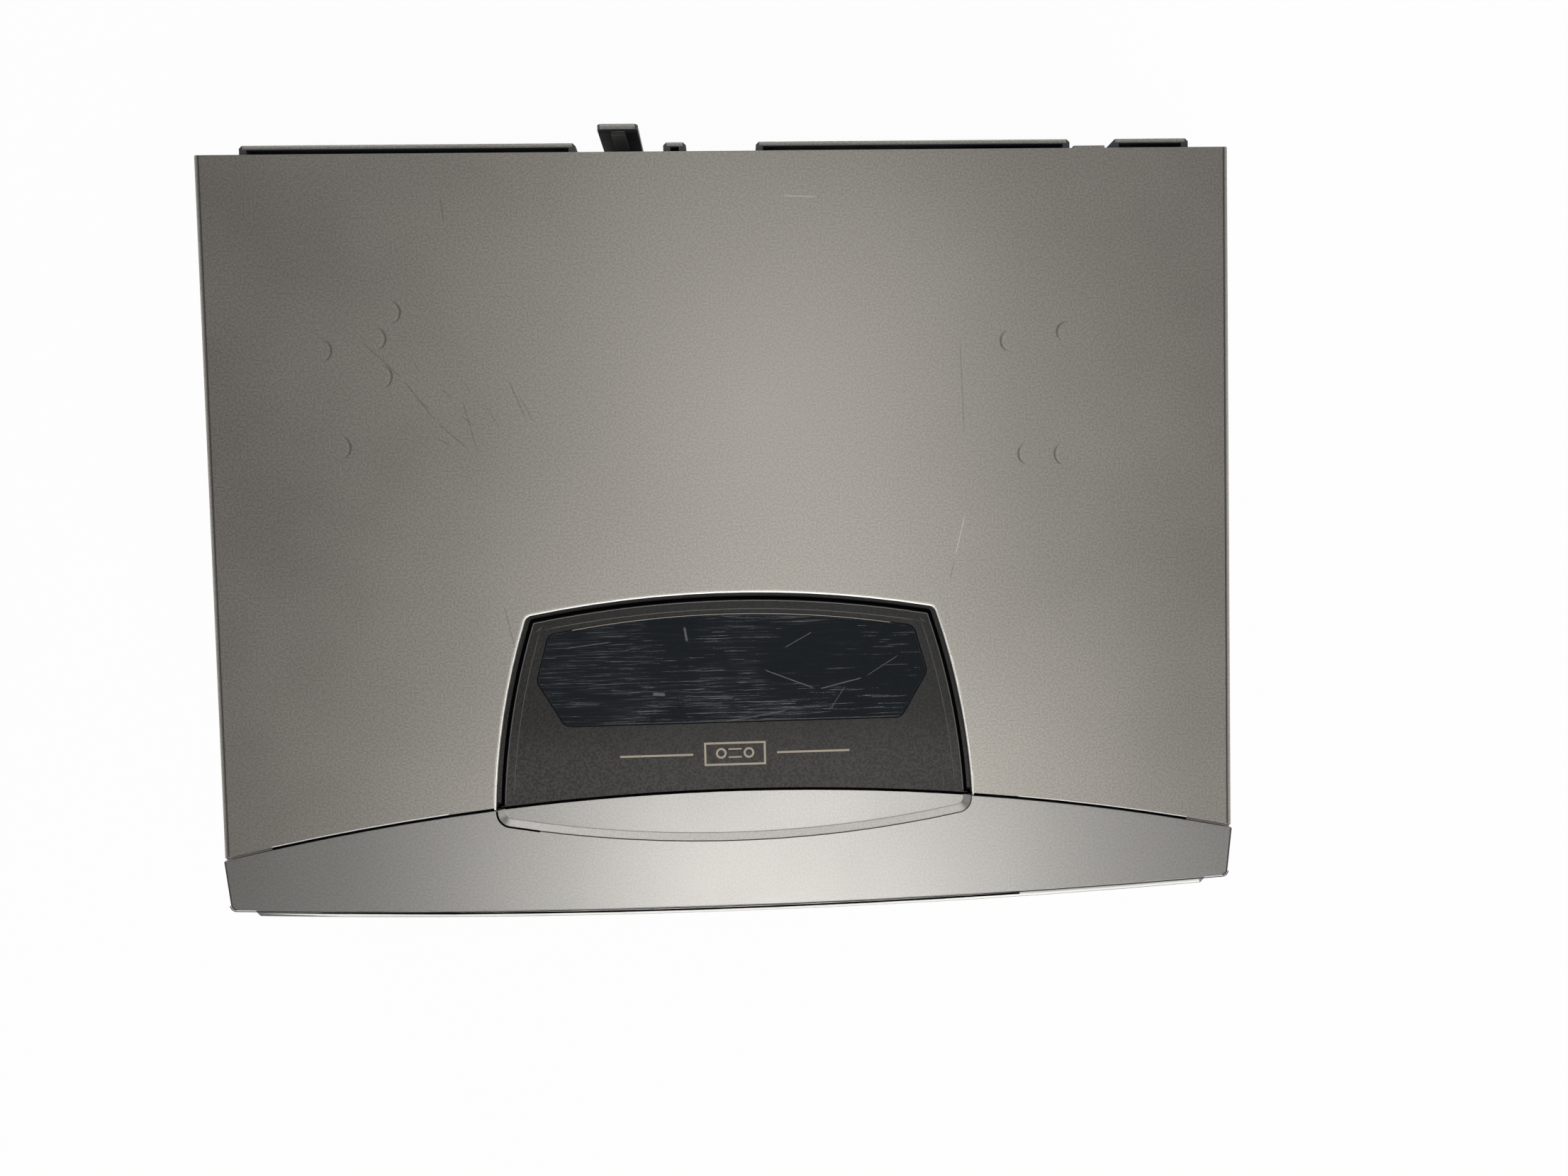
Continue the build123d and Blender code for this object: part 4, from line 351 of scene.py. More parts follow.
def stackedIron():
    finish = Finish("stackedIron", srgb(96, 94, 92), 0.45, 0.7)
    sheets = finish.node("ShaderNodeMath", {"operation": "SINE"}, {0: finish.axis("Z") * 9000.0})
    varnish = finish.step(finish.noise(90, 3.0), 0.45, 0.6)
    finish.shade(finish.step(sheets, -0.5, 0.5), 0.7, 1.05)
    finish.put("Base Color", finish.mix(varnish * 0.35, finish.color, srgb(104, 62, 28)))
    finish.bump(sheets, 0.00006)
    return finish.material


finishes = {
    "cover_paint": paintedCover(),
    "bezel_plastic": paintedBezel("silverBezel", bezelPaint),
    # the viewer frame has painted light: up to 2.4 times lighter towards y = -90 mm, darker from y = -66 mm back
    "frame_plastic": mouldedPlastic("charcoalViewer", srgb(30, 28, 26), 0.48, 1300, 0.00012, 0.45, (-90, -66, 2.4), 0.28),
    "clear_lens": clearLens(),
    "smoked_window": smokedWindow(),
    "display_glass": mouldedPlastic("displayGlass", srgb(40, 46, 44), 0.12, 3000, 0.000005, 0.05),
    "rear_plastic": mouldedPlastic("rearPlastic", srgb(52, 54, 58), 0.52, 1800, 0.00005, 0.15),
    "case_plastic": mouldedPlastic("casePlastic", srgb(44, 44, 46), 0.6, 1800, 0.00005, 0.15),
    "plate_steel": drawnMetal("zincPlate", srgb(176, 178, 178), 0.38, spots=0.18),
    "foot_rubber": softRubber("footRubber", srgb(38, 38, 39)),
    "screw_steel": drawnMetal("screwSteel", srgb(120, 118, 112), 0.3, (1, 1, 0.1)),
    "key_plastic": paintedBezel("silverKeys", {"color": srgb(196, 194, 189), "rough": 0.34, "metal": 0.6}),
    "spring_steel": drawnMetal("springSteel", srgb(168, 166, 160), 0.25, (0.1, 1, 1)),
    "circuit_board": lacqueredBoard("lacqueredBoard", srgb(178, 146, 92), srgb(96, 108, 52)),
    "front_jack": mouldedPlastic("frontJack", srgb(34, 34, 35), 0.4),
    "rear_jack": mouldedPlastic("rearJack", srgb(30, 30, 31), 0.4),
    "tuner_steel": drawnMetal("tunerTinplate", srgb(198, 198, 192), 0.28, spots=0.1),
    "inlet_plastic": mouldedPlastic("inletPlastic", srgb(28, 28, 29), 0.42),
    "transformer_iron": stackedIron(),
    "flat_cable": flatRibbon(),
    "deck_steel": drawnMetal("deckSteel", srgb(186, 186, 182), 0.36, spots=0.14),
    "holder_steel": drawnMetal("holderSteel", srgb(158, 160, 160), 0.36, spots=0.1),
    "gear_plastic": mouldedPlastic("whiteAcetal", srgb(226, 222, 208), 0.38, 2200, 0.00002, 0.05),
    "drum_metal": turnedMetal("drumAlloy", srgb(204, 204, 202), 0.0, 60.5, 0.2),
    "motor_steel": drawnMetal("motorSteel", srgb(150, 150, 148), 0.28, (1, 1, 0.03)),
    "belt_rubber": softRubber("beltRubber", srgb(30, 30, 30), 0.6),
    "roller_rubber": softRubber("rollerRubber", srgb(46, 44, 44), 0.6),
    "head_metal": drawnMetal("headMetal", srgb(196, 192, 184), 0.14),
}
darkBoard = lacqueredBoard("darkBoard", srgb(58, 46, 34), srgb(40, 34, 24))
for name, piece in nodes.items():
    piece.data.materials.clear()
    piece.data.materials.append(darkBoard if name == "front_board" else finishes[slotOf[name]])
    for face in piece.data.polygons:
        face.material_index = 0
print("finishes on", len(nodes), "nodes")


def putIn(name, mesh, material, body):
    piece = bpy.data.objects.new(name, mesh)
    bpy.context.scene.collection.objects.link(piece)
    mesh.materials.clear()
    mesh.materials.append(material)
    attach(piece, body)
    return piece


# copy of a node with eased edges, which then stands for it
def eased(node, width, turns=2, angle=28):
    copy = nodes[node].data.copy()
    build = bmesh.new()
    build.from_mesh(copy)
    bmesh.ops.remove_doubles(build, verts=build.verts, dist=0.000004)
    bmesh.ops.dissolve_limit(build, angle_limit=math.radians(0.6), verts=build.verts, edges=build.edges)
    for face in build.faces:
        face.smooth = True
    build.to_mesh(copy)
    build.free()
    piece = bpy.data.objects.new(node + "_eased", copy)
    bpy.context.scene.collection.objects.link(piece)
    if copy.has_custom_normals:
        with bpy.context.temp_override(active_object=piece, object=piece, selected_objects=[piece]):
            bpy.ops.mesh.customdata_custom_splitnormals_clear()
    bevel = piece.modifiers.new("ease", "BEVEL")
    bevel.width = width * mm
    bevel.segments = turns
    bevel.limit_method = "ANGLE"
    bevel.angle_limit = math.radians(angle)
    bevel.harden_normals = True
    bpy.context.view_layer.update()
    shaped = bpy.data.meshes.new_from_object(piece.evaluated_get(bpy.context.evaluated_depsgraph_get()))
    piece.modifiers.clear()
    bpy.data.objects.remove(piece)
    shaped.name = node + "Eased"
    normals = [corner.vector.copy() for corner in shaped.corner_normals]
    for face in shaped.polygons:
        if face.area > 0.00006 and max(map(abs, face.normal)) > 0.99999:  # large and square to the object
            for corner in face.loop_indices:
                normals[corner] = face.normal
    shaped.normals_split_custom_set(normals)
    made = putIn(node + "_eased", shaped, finishes[slotOf[node]], bodyOf[node])
    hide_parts(node)
    return made


easedEdges = {
    "top_cover": 0.3, "front_bezel": 0.5, "front_fascia": 0.3, "viewer_frame": 0.35, "viewer_lens": 0.2,
    "cassette_door": 0.35, "av_flap": 0.3, "rear_panel": 0.3, "cord_hook": 0.4, "ac_inlet": 0.3,
    "cassette_holder": 0.2, "deck_chassis": 0.2, "side_bracket_left": 0.2, "side_bracket_right": 0.2,
    "power_button": 0.25, "eject_button": 0.25, "rewind_button": 0.25, "play_button": 0.25,
    "forward_button": 0.25, "stop_button": 0.25, "record_button": 0.25, "channel_down_button": 0.25,
    "channel_up_button": 0.25, "front_av_jacks": 0.2, "rear_av_jacks": 0.2, "tuner_module": 0.3, "transformer": 0.4,
    "channel_switch": 0.2, "feet": 0.4, "loader_slides": 0.15, "display_window": 0.15, "loading_motor": 0.2,
    "capstan_motor": 0.3, "pinch_arm": 0.2, "tension_arm": 0.2, "idler_arm": 0.15, "tape_heads": 0.2,
}
for node, width in easedEdges.items():
    eased(node, width)
print("eased", len(easedEdges), "nodes")


# flat print on a plane: outlines in millimetres on two axes from a middle
def printMesh(name, outlines, middle, across, up, thick=0.06):
    build = bmesh.new()
    for outline in outlines:
        points = [middle + across * (u * mm) + up * (v * mm) for u, v in outline]
        face = build.faces.new([build.verts.new(point) for point in points])
        lift = across.cross(up) * (thick * mm)
        result = bmesh.ops.extrude_face_region(build, geom=[face])
        moved = [item for item in result["geom"] if isinstance(item, bmesh.types.BMVert)]
        bmesh.ops.translate(build, vec=lift, verts=moved)
    bmesh.ops.recalc_face_normals(build, faces=build.faces)
    mesh = bpy.data.meshes.new(name)
    build.to_mesh(mesh)
    build.free()
    return mesh


def bar(u0, v0, u1, v1):
    return [(u0, v0), (u1, v0), (u1, v1), (u0, v1)]


def ring(u, v, radius, width, sides=28):
    quads = []
    for side in range(sides):
        first = 2 * math.pi * side / sides
        last = 2 * math.pi * (side + 1) / sides
        quads.append([(u + r * math.cos(a), v + r * math.sin(a))
                      for r, a in ((radius, first), (radius, last), (radius - width, last), (radius - width, first))])
    return quads


def disc(u, v, radius, sides=28):
    return [[(u + radius * math.cos(2 * math.pi * s / sides), v + radius * math.sin(2 * math.pi * s / sides)) for s in range(sides)]]


def arrow(u, v, size, turn):
    angle = math.radians(turn)
    corners = [(-0.5, -0.58), (0.5, 0.0), (-0.5, 0.58)]
    return [(u + size * (a * math.cos(angle) - b * math.sin(angle)), v + size * (a * math.sin(angle) + b * math.cos(angle))) for a, b in corners]


# a plain cassette outline stands where the viewer's print is
viewerPrint = {"color": srgb(158, 146, 128), "y": -84.2, "width": 22.0, "height": 8.4, "line": 0.7, "hub": 1.9, "side": 30.0}


def viewerPictogram():
    set = viewerPrint
    wide = set["width"] / 2
    tall = set["height"] / 2
    line = set["line"]
    shapes = [bar(-wide, -tall, wide, -tall + line), bar(-wide, tall - line, wide, tall),
              bar(-wide, -tall + line, -wide + line, tall - line), bar(wide - line, -tall + line, wide, tall - line)]
    for side in (-1, 1):
        shapes += ring(side * wide * 0.45, 0.2, set["hub"], line)
        inner = sorted((side * (wide + 4.0), side * (wide + set["side"])))
        shapes.append(bar(inner[0], -line / 2, inner[1], line / 2))
    shapes.append(bar(-wide * 0.45 + 2.6, -1.5, wide * 0.45 - 2.6, -1.0))
    shapes.append(bar(-wide * 0.45 + 2.6, 1.4, wide * 0.45 - 2.6, 1.9))
    middle = Vector((0, set["y"] * mm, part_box("viewer_frame")[0].z + 2.5 * mm - 0.02 * mm))
    mesh = printMesh("viewerPictogram", shapes, middle, Vector((1, 0, 0)), Vector((0, 1, 0)))
    finish = Finish("beigePrint", set["color"], 0.45)
    wear = finish.step(finish.noise(700, 3.0), 0.6, 0.75)
    finish.put("Base Color", finish.mix(wear * 0.4, set["color"], srgb(96, 90, 82)))
    putIn("viewerPictogram", mesh, finish.material, "root")
    return finish.material


beige = viewerPictogram()


keySymbols = {
    "power_button": ring(0, 0, 2.2, 0.5)[3:-2] + [bar(-0.25, 0.3, 0.25, 2.9)],
    "eject_button": [arrow(0, 0.7, 3.2, 90), bar(-1.9, -2.2, 1.9, -1.5)],
    "rewind_button": [arrow(-1.6, 0, 3.0, 180), arrow(1.6, 0, 3.0, 180)],
    "play_button": [arrow(0.3, 0, 3.6, 0)],
    "forward_button": [arrow(-1.6, 0, 3.0, 0), arrow(1.6, 0, 3.0, 0)],
    "stop_button": [bar(-1.5, -1.5, 1.5, 1.5)],
    "record_button": disc(0, 0, 1.4),
    "channel_down_button": [arrow(0, 0, 2.6, -90)],
    "channel_up_button": [arrow(0, 0, 2.6, 90)],
}
inkDark = mouldedPlastic("darkInk", srgb(52, 52, 54), 0.5)
inkRed = mouldedPlastic("redInk", srgb(168, 40, 34), 0.5)
for node, shapes in keySymbols.items():
    low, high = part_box(node)
    capZ = (low.z + high.z) / 2
    middle = Vector(((low.x + high.x) / 2, low.y + 0.02 * mm, capZ))
    mesh = printMesh(node + "Symbol", shapes, middle, Vector((1, 0, 0)), Vector((0, 0, 1)))
    putIn(node + "_symbol", mesh, inkRed if node == "record_button" else inkDark, bodyOf[node])
print("prints", len(keySymbols) + 1)


# a tree that repeats or sweeps a shape on given points
class Growth(NodeTree):
    def __init__(self, name, inputs):
        self.tree = bpy.data.node_groups.new(name, "GeometryNodeTree")
        self.interface = self.tree.interface
        self.interface.new_socket(name="Geometry", in_out="OUTPUT", socket_type="NodeSocketGeometry")
        self.interface.new_socket(name="Geometry", in_out="INPUT", socket_type="NodeSocketGeometry")
        self.sockets = {}
        for label, value in inputs.items():
            kind = {int: "NodeSocketInt", tuple: "NodeSocketVector"}.get(type(value), "NodeSocketFloat")
            socket = self.interface.new_socket(name=label, in_out="INPUT", socket_type=kind)
            socket.default_value = value
            self.sockets[label] = socket.identifier
        self.entry = self.tree.nodes.new("NodeGroupInput")

    def given(self, label):
        return Value(self, self.entry.outputs[label])

    def end(self, shape, material):
        whole = self.node("GeometryNodeRealizeInstances", {}, {0: shape})
        painted = self.node("GeometryNodeSetMaterial", {}, {"Geometry": whole, "Material": material})
        leave = self.tree.nodes.new("NodeGroupOutput")
        self.tree.links.new(painted.socket, leave.inputs["Geometry"])
        self.material = material
        return self


def grow(name, growth, values, base, body):
    if isinstance(base, list):
        points = base
        base = bpy.data.meshes.new(name + "Places")
        base.from_pydata([Vector(point) * mm for point in points], [], [])
    holder = bpy.data.objects.new(name + "Holder", base)
    bpy.context.scene.collection.objects.link(holder)
    modifier = holder.modifiers.new("growth", "NODES")
    modifier.node_group = growth.tree
    for label, value in values.items():
        modifier[growth.sockets[label]] = value
    bpy.context.view_layer.update()
    shaped = bpy.data.meshes.new_from_object(holder.evaluated_get(bpy.context.evaluated_depsgraph_get()))
    holder.modifiers.clear()
    bpy.data.objects.remove(holder)
    shaped.name = name + "Shape"
    return putIn(name, shaped, growth.material, body)


# coloured ring round each phono jack
def jackRings(name, material):
    growth = Growth(name, {"Radius": 5.3 * mm, "Width": 0.7 * mm, "Turn": (math.pi / 2, 0.0, 0.0)})
    path = growth.node("GeometryNodeCurvePrimitiveCircle", {}, {"Resolution": 40, "Radius": growth.given("Radius")}, "Curve")
    profile = growth.node("GeometryNodeCurvePrimitiveCircle", {}, {"Resolution": 8, "Radius": growth.given("Width")}, "Curve")
    ringShape = growth.node("GeometryNodeCurveToMesh", {}, {"Curve": path, "Profile Curve": profile})
    placed = growth.node("GeometryNodeInstanceOnPoints", {}, {"Points": growth.given("Geometry"), "Instance": ringShape,
                                                                "Rotation": growth.given("Turn")})
    return growth.end(placed, material)


jackMarks = {
    "yellow": {"color": srgb(214, 176, 38), "front": [-142], "rear": [36]},
    "white": {"color": srgb(218, 216, 208), "front": [-122], "rear": [56]},
    "red": {"color": srgb(176, 44, 38), "front": [-102], "rear": [76]},
    "frontY": -129.9, "frontZ": 29, "rearY": 124.0, "rearZs": (38, 60), "radius": 5.4, "width": 0.75,
}
for name in ("yellow", "white", "red"):
    mark = jackMarks[name]
    plastic = mouldedPlastic(name + "Ring", mark["color"], 0.4, 2600, 0.00001, 0.04)
    rings = jackRings(name + "Rings", plastic)
    sizes = {"Radius": jackMarks["radius"] * mm, "Width": jackMarks["width"] * mm}
    frontPlaces = [(x, jackMarks["frontY"], jackMarks["frontZ"]) for x in mark["front"]]
    rearPlaces = [(x, jackMarks["rearY"], z) for x in mark["rear"] for z in jackMarks["rearZs"]]
    grow(name + "FrontRing", rings, sizes, frontPlaces, "root")
    grow(name + "RearRings", rings, sizes, rearPlaces, "root")


# one digit drawn as bars, repeated along the display
def digitRow(material):
    growth = Growth("digitRow", {"Count": 4, "Step": (0.01, 0.0, 0.0)})
    places = growth.node("GeometryNodeMeshLine", {}, {"Count": growth.given("Count"), "Offset": growth.given("Step")})
    placed = growth.node("GeometryNodeInstanceOnPoints", {}, {"Points": places, "Instance": growth.given("Geometry")})
    return growth.end(placed, material)


displayMarks = {"color": srgb(120, 130, 124), "digits": 6, "step": 11.5, "x": -30, "z": 38.0, "tall": 8.0, "wide": 4.6, "bar": 0.8}


def displayDigits():
    marks = displayMarks
    wide = marks["wide"] / 2
    tall = marks["tall"] / 2
    line = marks["bar"]
    gap = 0.2
    bars = [bar(-wide + line + gap, z - line / 2, wide - line - gap, z + line / 2) for z in (-tall + line / 2, 0, tall - line / 2)]
    for u in (-wide, wide - line):
        bars += [bar(u, gap, u + line, tall - gap), bar(u, -tall + gap, u + line, -gap)]
    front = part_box("display_tube")[0].y
    middle = Vector((marks["x"] * mm, front + 0.02 * mm, marks["z"] * mm))
    digit = printMesh("displayDigit", bars, middle, Vector((1, 0, 0)), Vector((0, 0, 1)))
    ghost = mouldedPlastic("unlitSegments", marks["color"], 0.35, 3000, 0.000005, 0.05)
    grow("displayDigits", digitRow(ghost), {"Count": marks["digits"], "Step": (marks["step"] * mm, 0, 0)}, digit, "root")


displayDigits()


# the wound spring on the door's left pin
doorSpring = {"turns": 5.0, "radius": 1.55, "wire": 0.2, "length": 6.0}


def doorCoil():
    growth = Growth("doorCoil", {"Turns": 5.0, "Radius": 0.0015, "Wire": 0.0002, "Length": 0.006, "Start": (0.0, 0.0, 0.0)})
    path = growth.node("GeometryNodeCurveSpiral", {}, {"Resolution": 32, "Rotations": growth.given("Turns"), "Start Radius": growth.given("Radius"),
                                                        "End Radius": growth.given("Radius"), "Height": growth.given("Length")})
    profile = growth.node("GeometryNodeCurvePrimitiveCircle", {}, {"Resolution": 10, "Radius": growth.given("Wire")}, "Curve")
    wound = growth.node("GeometryNodeCurveToMesh", {}, {"Curve": path, "Profile Curve": profile, "Fill Caps": True})
    laid = growth.node("GeometryNodeTransform", {}, {"Geometry": wound, "Rotation": (0, math.pi / 2, 0), "Translation": growth.given("Start")})
    low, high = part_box("door_spring")
    start = (low.x + doorSpring["wire"] * mm, (low.y + high.y) / 2, (low.z + high.z) / 2)
    sizes = {"Turns": doorSpring["turns"], "Radius": (high.z - low.z) / 2 - doorSpring["wire"] * mm, "Wire": doorSpring["wire"] * mm,
             "Length": high.x - low.x - 2 * doorSpring["wire"] * mm, "Start": start}
    coil = grow("doorCoil", growth.end(laid, finishes["spring_steel"]), sizes, [(0, 0, 0)], bodyOf["door_spring"])
    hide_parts("door_spring")


doorCoil()


# small parts scattered over a board on a grid with a fixed seed
def boardScatter(name, shape, material, lying=False):
    growth = Growth(name, {"Columns": 8, "Rows": 8, "Wide": 0.1, "Deep": 0.1, "Place": (0.0, 0.0, 0.0), "Seed": 1, "Keep": 0.5,
                           "Jitter": 0.002, "Size": (0.003, 0.003, 0.003)})
    grid = growth.node("GeometryNodeMeshGrid", {}, {"Size X": growth.given("Wide"), "Size Y": growth.given("Deep"),
                                                     "Vertices X": growth.given("Columns"), "Vertices Y": growth.given("Rows")})
    left = growth.node("FunctionNodeRandomValue", {"data_type": "FLOAT"}, {2: 0.0, 3: 1.0, "Seed": growth.given("Seed")}, 1)
    kept = growth.node("GeometryNodeDeleteGeometry", {}, {"Geometry": grid, "Selection": left > growth.given("Keep")})
    low = growth.node("ShaderNodeVectorMath", {"operation": "SCALE"}, {0: (-1, -1, 0), "Scale": growth.given("Jitter")})
    high = growth.node("ShaderNodeVectorMath", {"operation": "SCALE"}, {0: (1, 1, 0), "Scale": growth.given("Jitter")})
    stray = growth.node("FunctionNodeRandomValue", {"data_type": "FLOAT_VECTOR"}, {0: low, 1: high, "Seed": growth.given("Seed") + 7})
    strewn = growth.node("GeometryNodeSetPosition", {}, {"Geometry": kept, "Offset": stray})
    if shape == "can":
        single = growth.node("GeometryNodeMeshCylinder", {}, {"Vertices": 14, "Radius": 0.5, "Depth": 1.0})
    else:
        single = growth.node("GeometryNodeMeshCube", {}, {"Size": (1, 1, 1)})
    turn = (0, math.pi / 2, 0) if lying else (0, 0, 0)
    upright = growth.node("GeometryNodeTransform", {}, {"Geometry": single, "Rotation": turn})
    sized = growth.node("GeometryNodeTransform", {}, {"Geometry": upright, "Scale": growth.given("Size")})
    quarter = growth.node("FunctionNodeRandomValue", {"data_type": "INT"}, {4: 0, 5: 1, "Seed": growth.given("Seed") + 3}, 2)
    spin = growth.node("ShaderNodeCombineXYZ", {}, {2: quarter * (math.pi / 2)})
    placed = growth.node("GeometryNodeInstanceOnPoints", {}, {"Points": strewn, "Instance": sized, "Rotation": spin})
    moved = growth.node("GeometryNodeTransform", {}, {"Geometry": placed, "Translation": growth.given("Place")})
    return growth.end(moved, material)


# what each board carries: shape, colour, grid, share kept and size of one part in millimetres
boardParts = {
    "resistors": {"shape": "can", "lying": True, "color": srgb(196, 168, 126), "grid": (20, 15), "keep": 0.34, "size": (5.6, 2.0, 2.0), "seed": 3},
    "bandedResistors": {"shape": "can", "lying": True, "color": srgb(108, 142, 168), "grid": (13, 11), "keep": 0.3, "size": (5.0, 1.8, 1.8), "seed": 11},
    "electrolytics": {"shape": "can", "lying": False, "color": srgb(38, 42, 66), "grid": (12, 10), "keep": 0.26, "size": (4.2, 4.2, 3.2), "seed": 5},
    "filmCapacitors": {"shape": "box", "lying": False, "color": srgb(150, 62, 34), "grid": (11, 12), "keep": 0.24, "size": (4.6, 2.0, 3.0), "seed": 8},
    "smallChips": {"shape": "box", "lying": False, "color": srgb(32, 32, 34), "grid": (9, 7), "keep": 0.3, "size": (8.6, 4.4, 1.5), "seed": 2},
}


def populateBoard():
    x0, x1, y0, y1, z = -108, 150, -98, 98, 13.6
    for name, part in boardParts.items():
        wide, deep, tall = part["size"]
        body = mouldedPlastic(name, part["color"], 0.4, 2400, 0.00001, 0.06)
        scatter = boardScatter(name, part["shape"], body, part["lying"])
        place = ((x0 + x1) / 2 * mm, (y0 + y1) / 2 * mm, (z + tall / 2 - 0.05) * mm)
        sizes = {"Columns": part["grid"][0], "Rows": part["grid"][1], "Wide": (x1 - x0) * mm, "Deep": (y1 - y0) * mm, "Place": place,
                 "Seed": part["seed"], "Keep": part["keep"], "Jitter": 4.5 * mm, "Size": (wide * mm, deep * mm, tall * mm)}
        grow(name, scatter, sizes, [(0, 0, 0)], "root")


populateBoard()


# sleeves, packages and fins over the boards' larger parts
def standing(name, shape, material):
    growth = Growth(name, {"Size": (0.01, 0.01, 0.01)})
    if shape == "can":
        single = growth.node("GeometryNodeMeshCylinder", {}, {"Vertices": 28, "Side Segments": 1, "Radius": 0.5, "Depth": 1.0})
    else:
        single = growth.node("GeometryNodeMeshCube", {}, {"Size": (1, 1, 1)})
    sized = growth.node("GeometryNodeTransform", {}, {"Geometry": single, "Scale": growth.given("Size")})
    placed = growth.node("GeometryNodeInstanceOnPoints", {}, {"Points": growth.given("Geometry"), "Instance": sized})
    return growth.end(placed, material)


largeParts = {
    # shape, colour, metal, size and places of the middles
    "signalCans": ("can", srgb(30, 34, 52), 0.0, (10.3, 10.3, 11.0), [(158.7, -70 + 18 * step, 19.2) for step in range(6)]),
    "signalTops": ("can", srgb(176, 176, 174), 0.9, (9.2, 9.2, 0.5), [(158.7, -70 + 18 * step, 25.6) for step in range(6)]),
    "supplyCans": ("can", srgb(26, 30, 46), 0.0, (12.3, 12.3, 23.0), [(-160, -10 + 15 * step, 25.2) for step in range(4)]),
    "supplyTops": ("can", srgb(176, 176, 174), 0.9, (11.0, 11.0, 0.5), [(-160, -10 + 15 * step, 37.6) for step in range(4)]),
    "heatFins": ("box", srgb(168, 170, 172), 0.9, (1.5, 36.4, 25.6), [(-133.4 + 4 * step, 2, 26.9) for step in range(4)]),
    "squareChips": ("box", srgb(30, 30, 32), 0.0, (22.4, 22.4, 3.0), [(-60, -60, 15.2)]),
    "longChips": ("box", srgb(30, 30, 32), 0.0, (26.4, 12.4, 3.0), [(10, -78, 15.2)]),
    "tunerChips": ("box", srgb(30, 30, 32), 0.0, (24.4, 24.4, 3.0), [(139.7, -40, 15.2)]),
}
for name, (shape, color, metal, size, places) in largeParts.items():
    skin = drawnMetal(name, color, 0.4) if metal else mouldedPlastic(name, color, 0.42, 2400, 0.00001, 0.06)
    grow(name, standing(name + "Tree", shape, skin), {"Size": tuple(side * mm for side in size)}, places, "root")


# fine ribs round a turned or moulded rim
def rimRibs(name, material):
    growth = Growth(name, {"Count": 60, "Radius": 0.02, "Size": (0.001, 0.001, 0.003), "Place": (0.0, 0.0, 0.0)})
    path = growth.node("GeometryNodeMeshCircle", {}, {"Vertices": growth.given("Count"), "Radius": growth.given("Radius")})
    where = growth.node("GeometryNodeInputPosition", {}, {})
    facing = growth.node("FunctionNodeAlignEulerToVector", {"axis": "X"}, {"Vector": where})
    single = growth.node("GeometryNodeMeshCube", {}, {"Size": growth.given("Size")})
    placed = growth.node("GeometryNodeInstanceOnPoints", {}, {"Points": path, "Instance": single, "Rotation": facing})
    moved = growth.node("GeometryNodeTransform", {}, {"Geometry": placed, "Translation": growth.given("Place")})
    return growth.end(moved, material)


ribbedRims = {
    # node: count, radius, size of one rib and the height of its middle
    "supply_reel": (72, 22.0, (0.5, 0.7, 2.6), 38.9),
    "takeup_reel": (72, 22.0, (0.5, 0.7, 2.6), 38.9),
}
for node, (count, radius, size, height) in ribbedRims.items():
    low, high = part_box(node)
    place = ((low.x + high.x) / 2, (low.y + high.y) / 2, height * mm)
    sizes = {"Count": count, "Radius": radius * mm, "Size": tuple(side * mm for side in size), "Place": place}
    grow(node + "_ribs", rimRibs(node + "Ribs", finishes[slotOf[node]]), sizes, [(0, 0, 0)], bodyOf[node])


# air grooves turned round the fixed drum, in its own tilted frame
drumGrooves = {"count": 5, "radius": 31.0, "wire": 0.14, "first": 4.0, "step": 2.2, "tilt": 5.97}


def grooveDrum():
    growth = Growth("drumGrooves", {"Count": 5, "Radius": 0.031, "Wire": 0.0001, "Step": (0.0, 0.0, 0.002), "Start": (0.0, 0.0, 0.0)})
    path = growth.node("GeometryNodeCurvePrimitiveCircle", {}, {"Resolution": 96, "Radius": growth.given("Radius")}, "Curve")
    profile = growth.node("GeometryNodeCurvePrimitiveCircle", {}, {"Resolution": 6, "Radius": growth.given("Wire")}, "Curve")
    line = growth.node("GeometryNodeCurveToMesh", {}, {"Curve": path, "Profile Curve": profile})
    places = growth.node("GeometryNodeMeshLine", {}, {"Count": growth.given("Count"), "Start Location": growth.given("Start"),
                                                       "Offset": growth.given("Step")})
    placed = growth.node("GeometryNodeInstanceOnPoints", {}, {"Points": places, "Instance": line})
    tilted = growth.node("GeometryNodeTransform", {}, {"Geometry": placed, "Rotation": (0, math.radians(drumGrooves["tilt"]), 0)})
    low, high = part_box("drum_base")
    seat = Vector(((low.x + high.x) / 2, (low.y + high.y) / 2, high.z - 20.0 * mm))
    moved = growth.node("GeometryNodeTransform", {}, {"Geometry": tilted, "Translation": seat})
    shadow = drawnMetal("grooveShadow", srgb(92, 92, 92), 0.3)
    sizes = {"Count": drumGrooves["count"], "Radius": (drumGrooves["radius"] - 0.02) * mm, "Wire": drumGrooves["wire"] * mm,
             "Step": (0, 0, drumGrooves["step"] * mm), "Start": (0, 0, drumGrooves["first"] * mm)}
    grow("drumGrooves", growth.end(moved, shadow), sizes, [(0, 0, 0)], bodyOf["drum_base"])


grooveDrum()


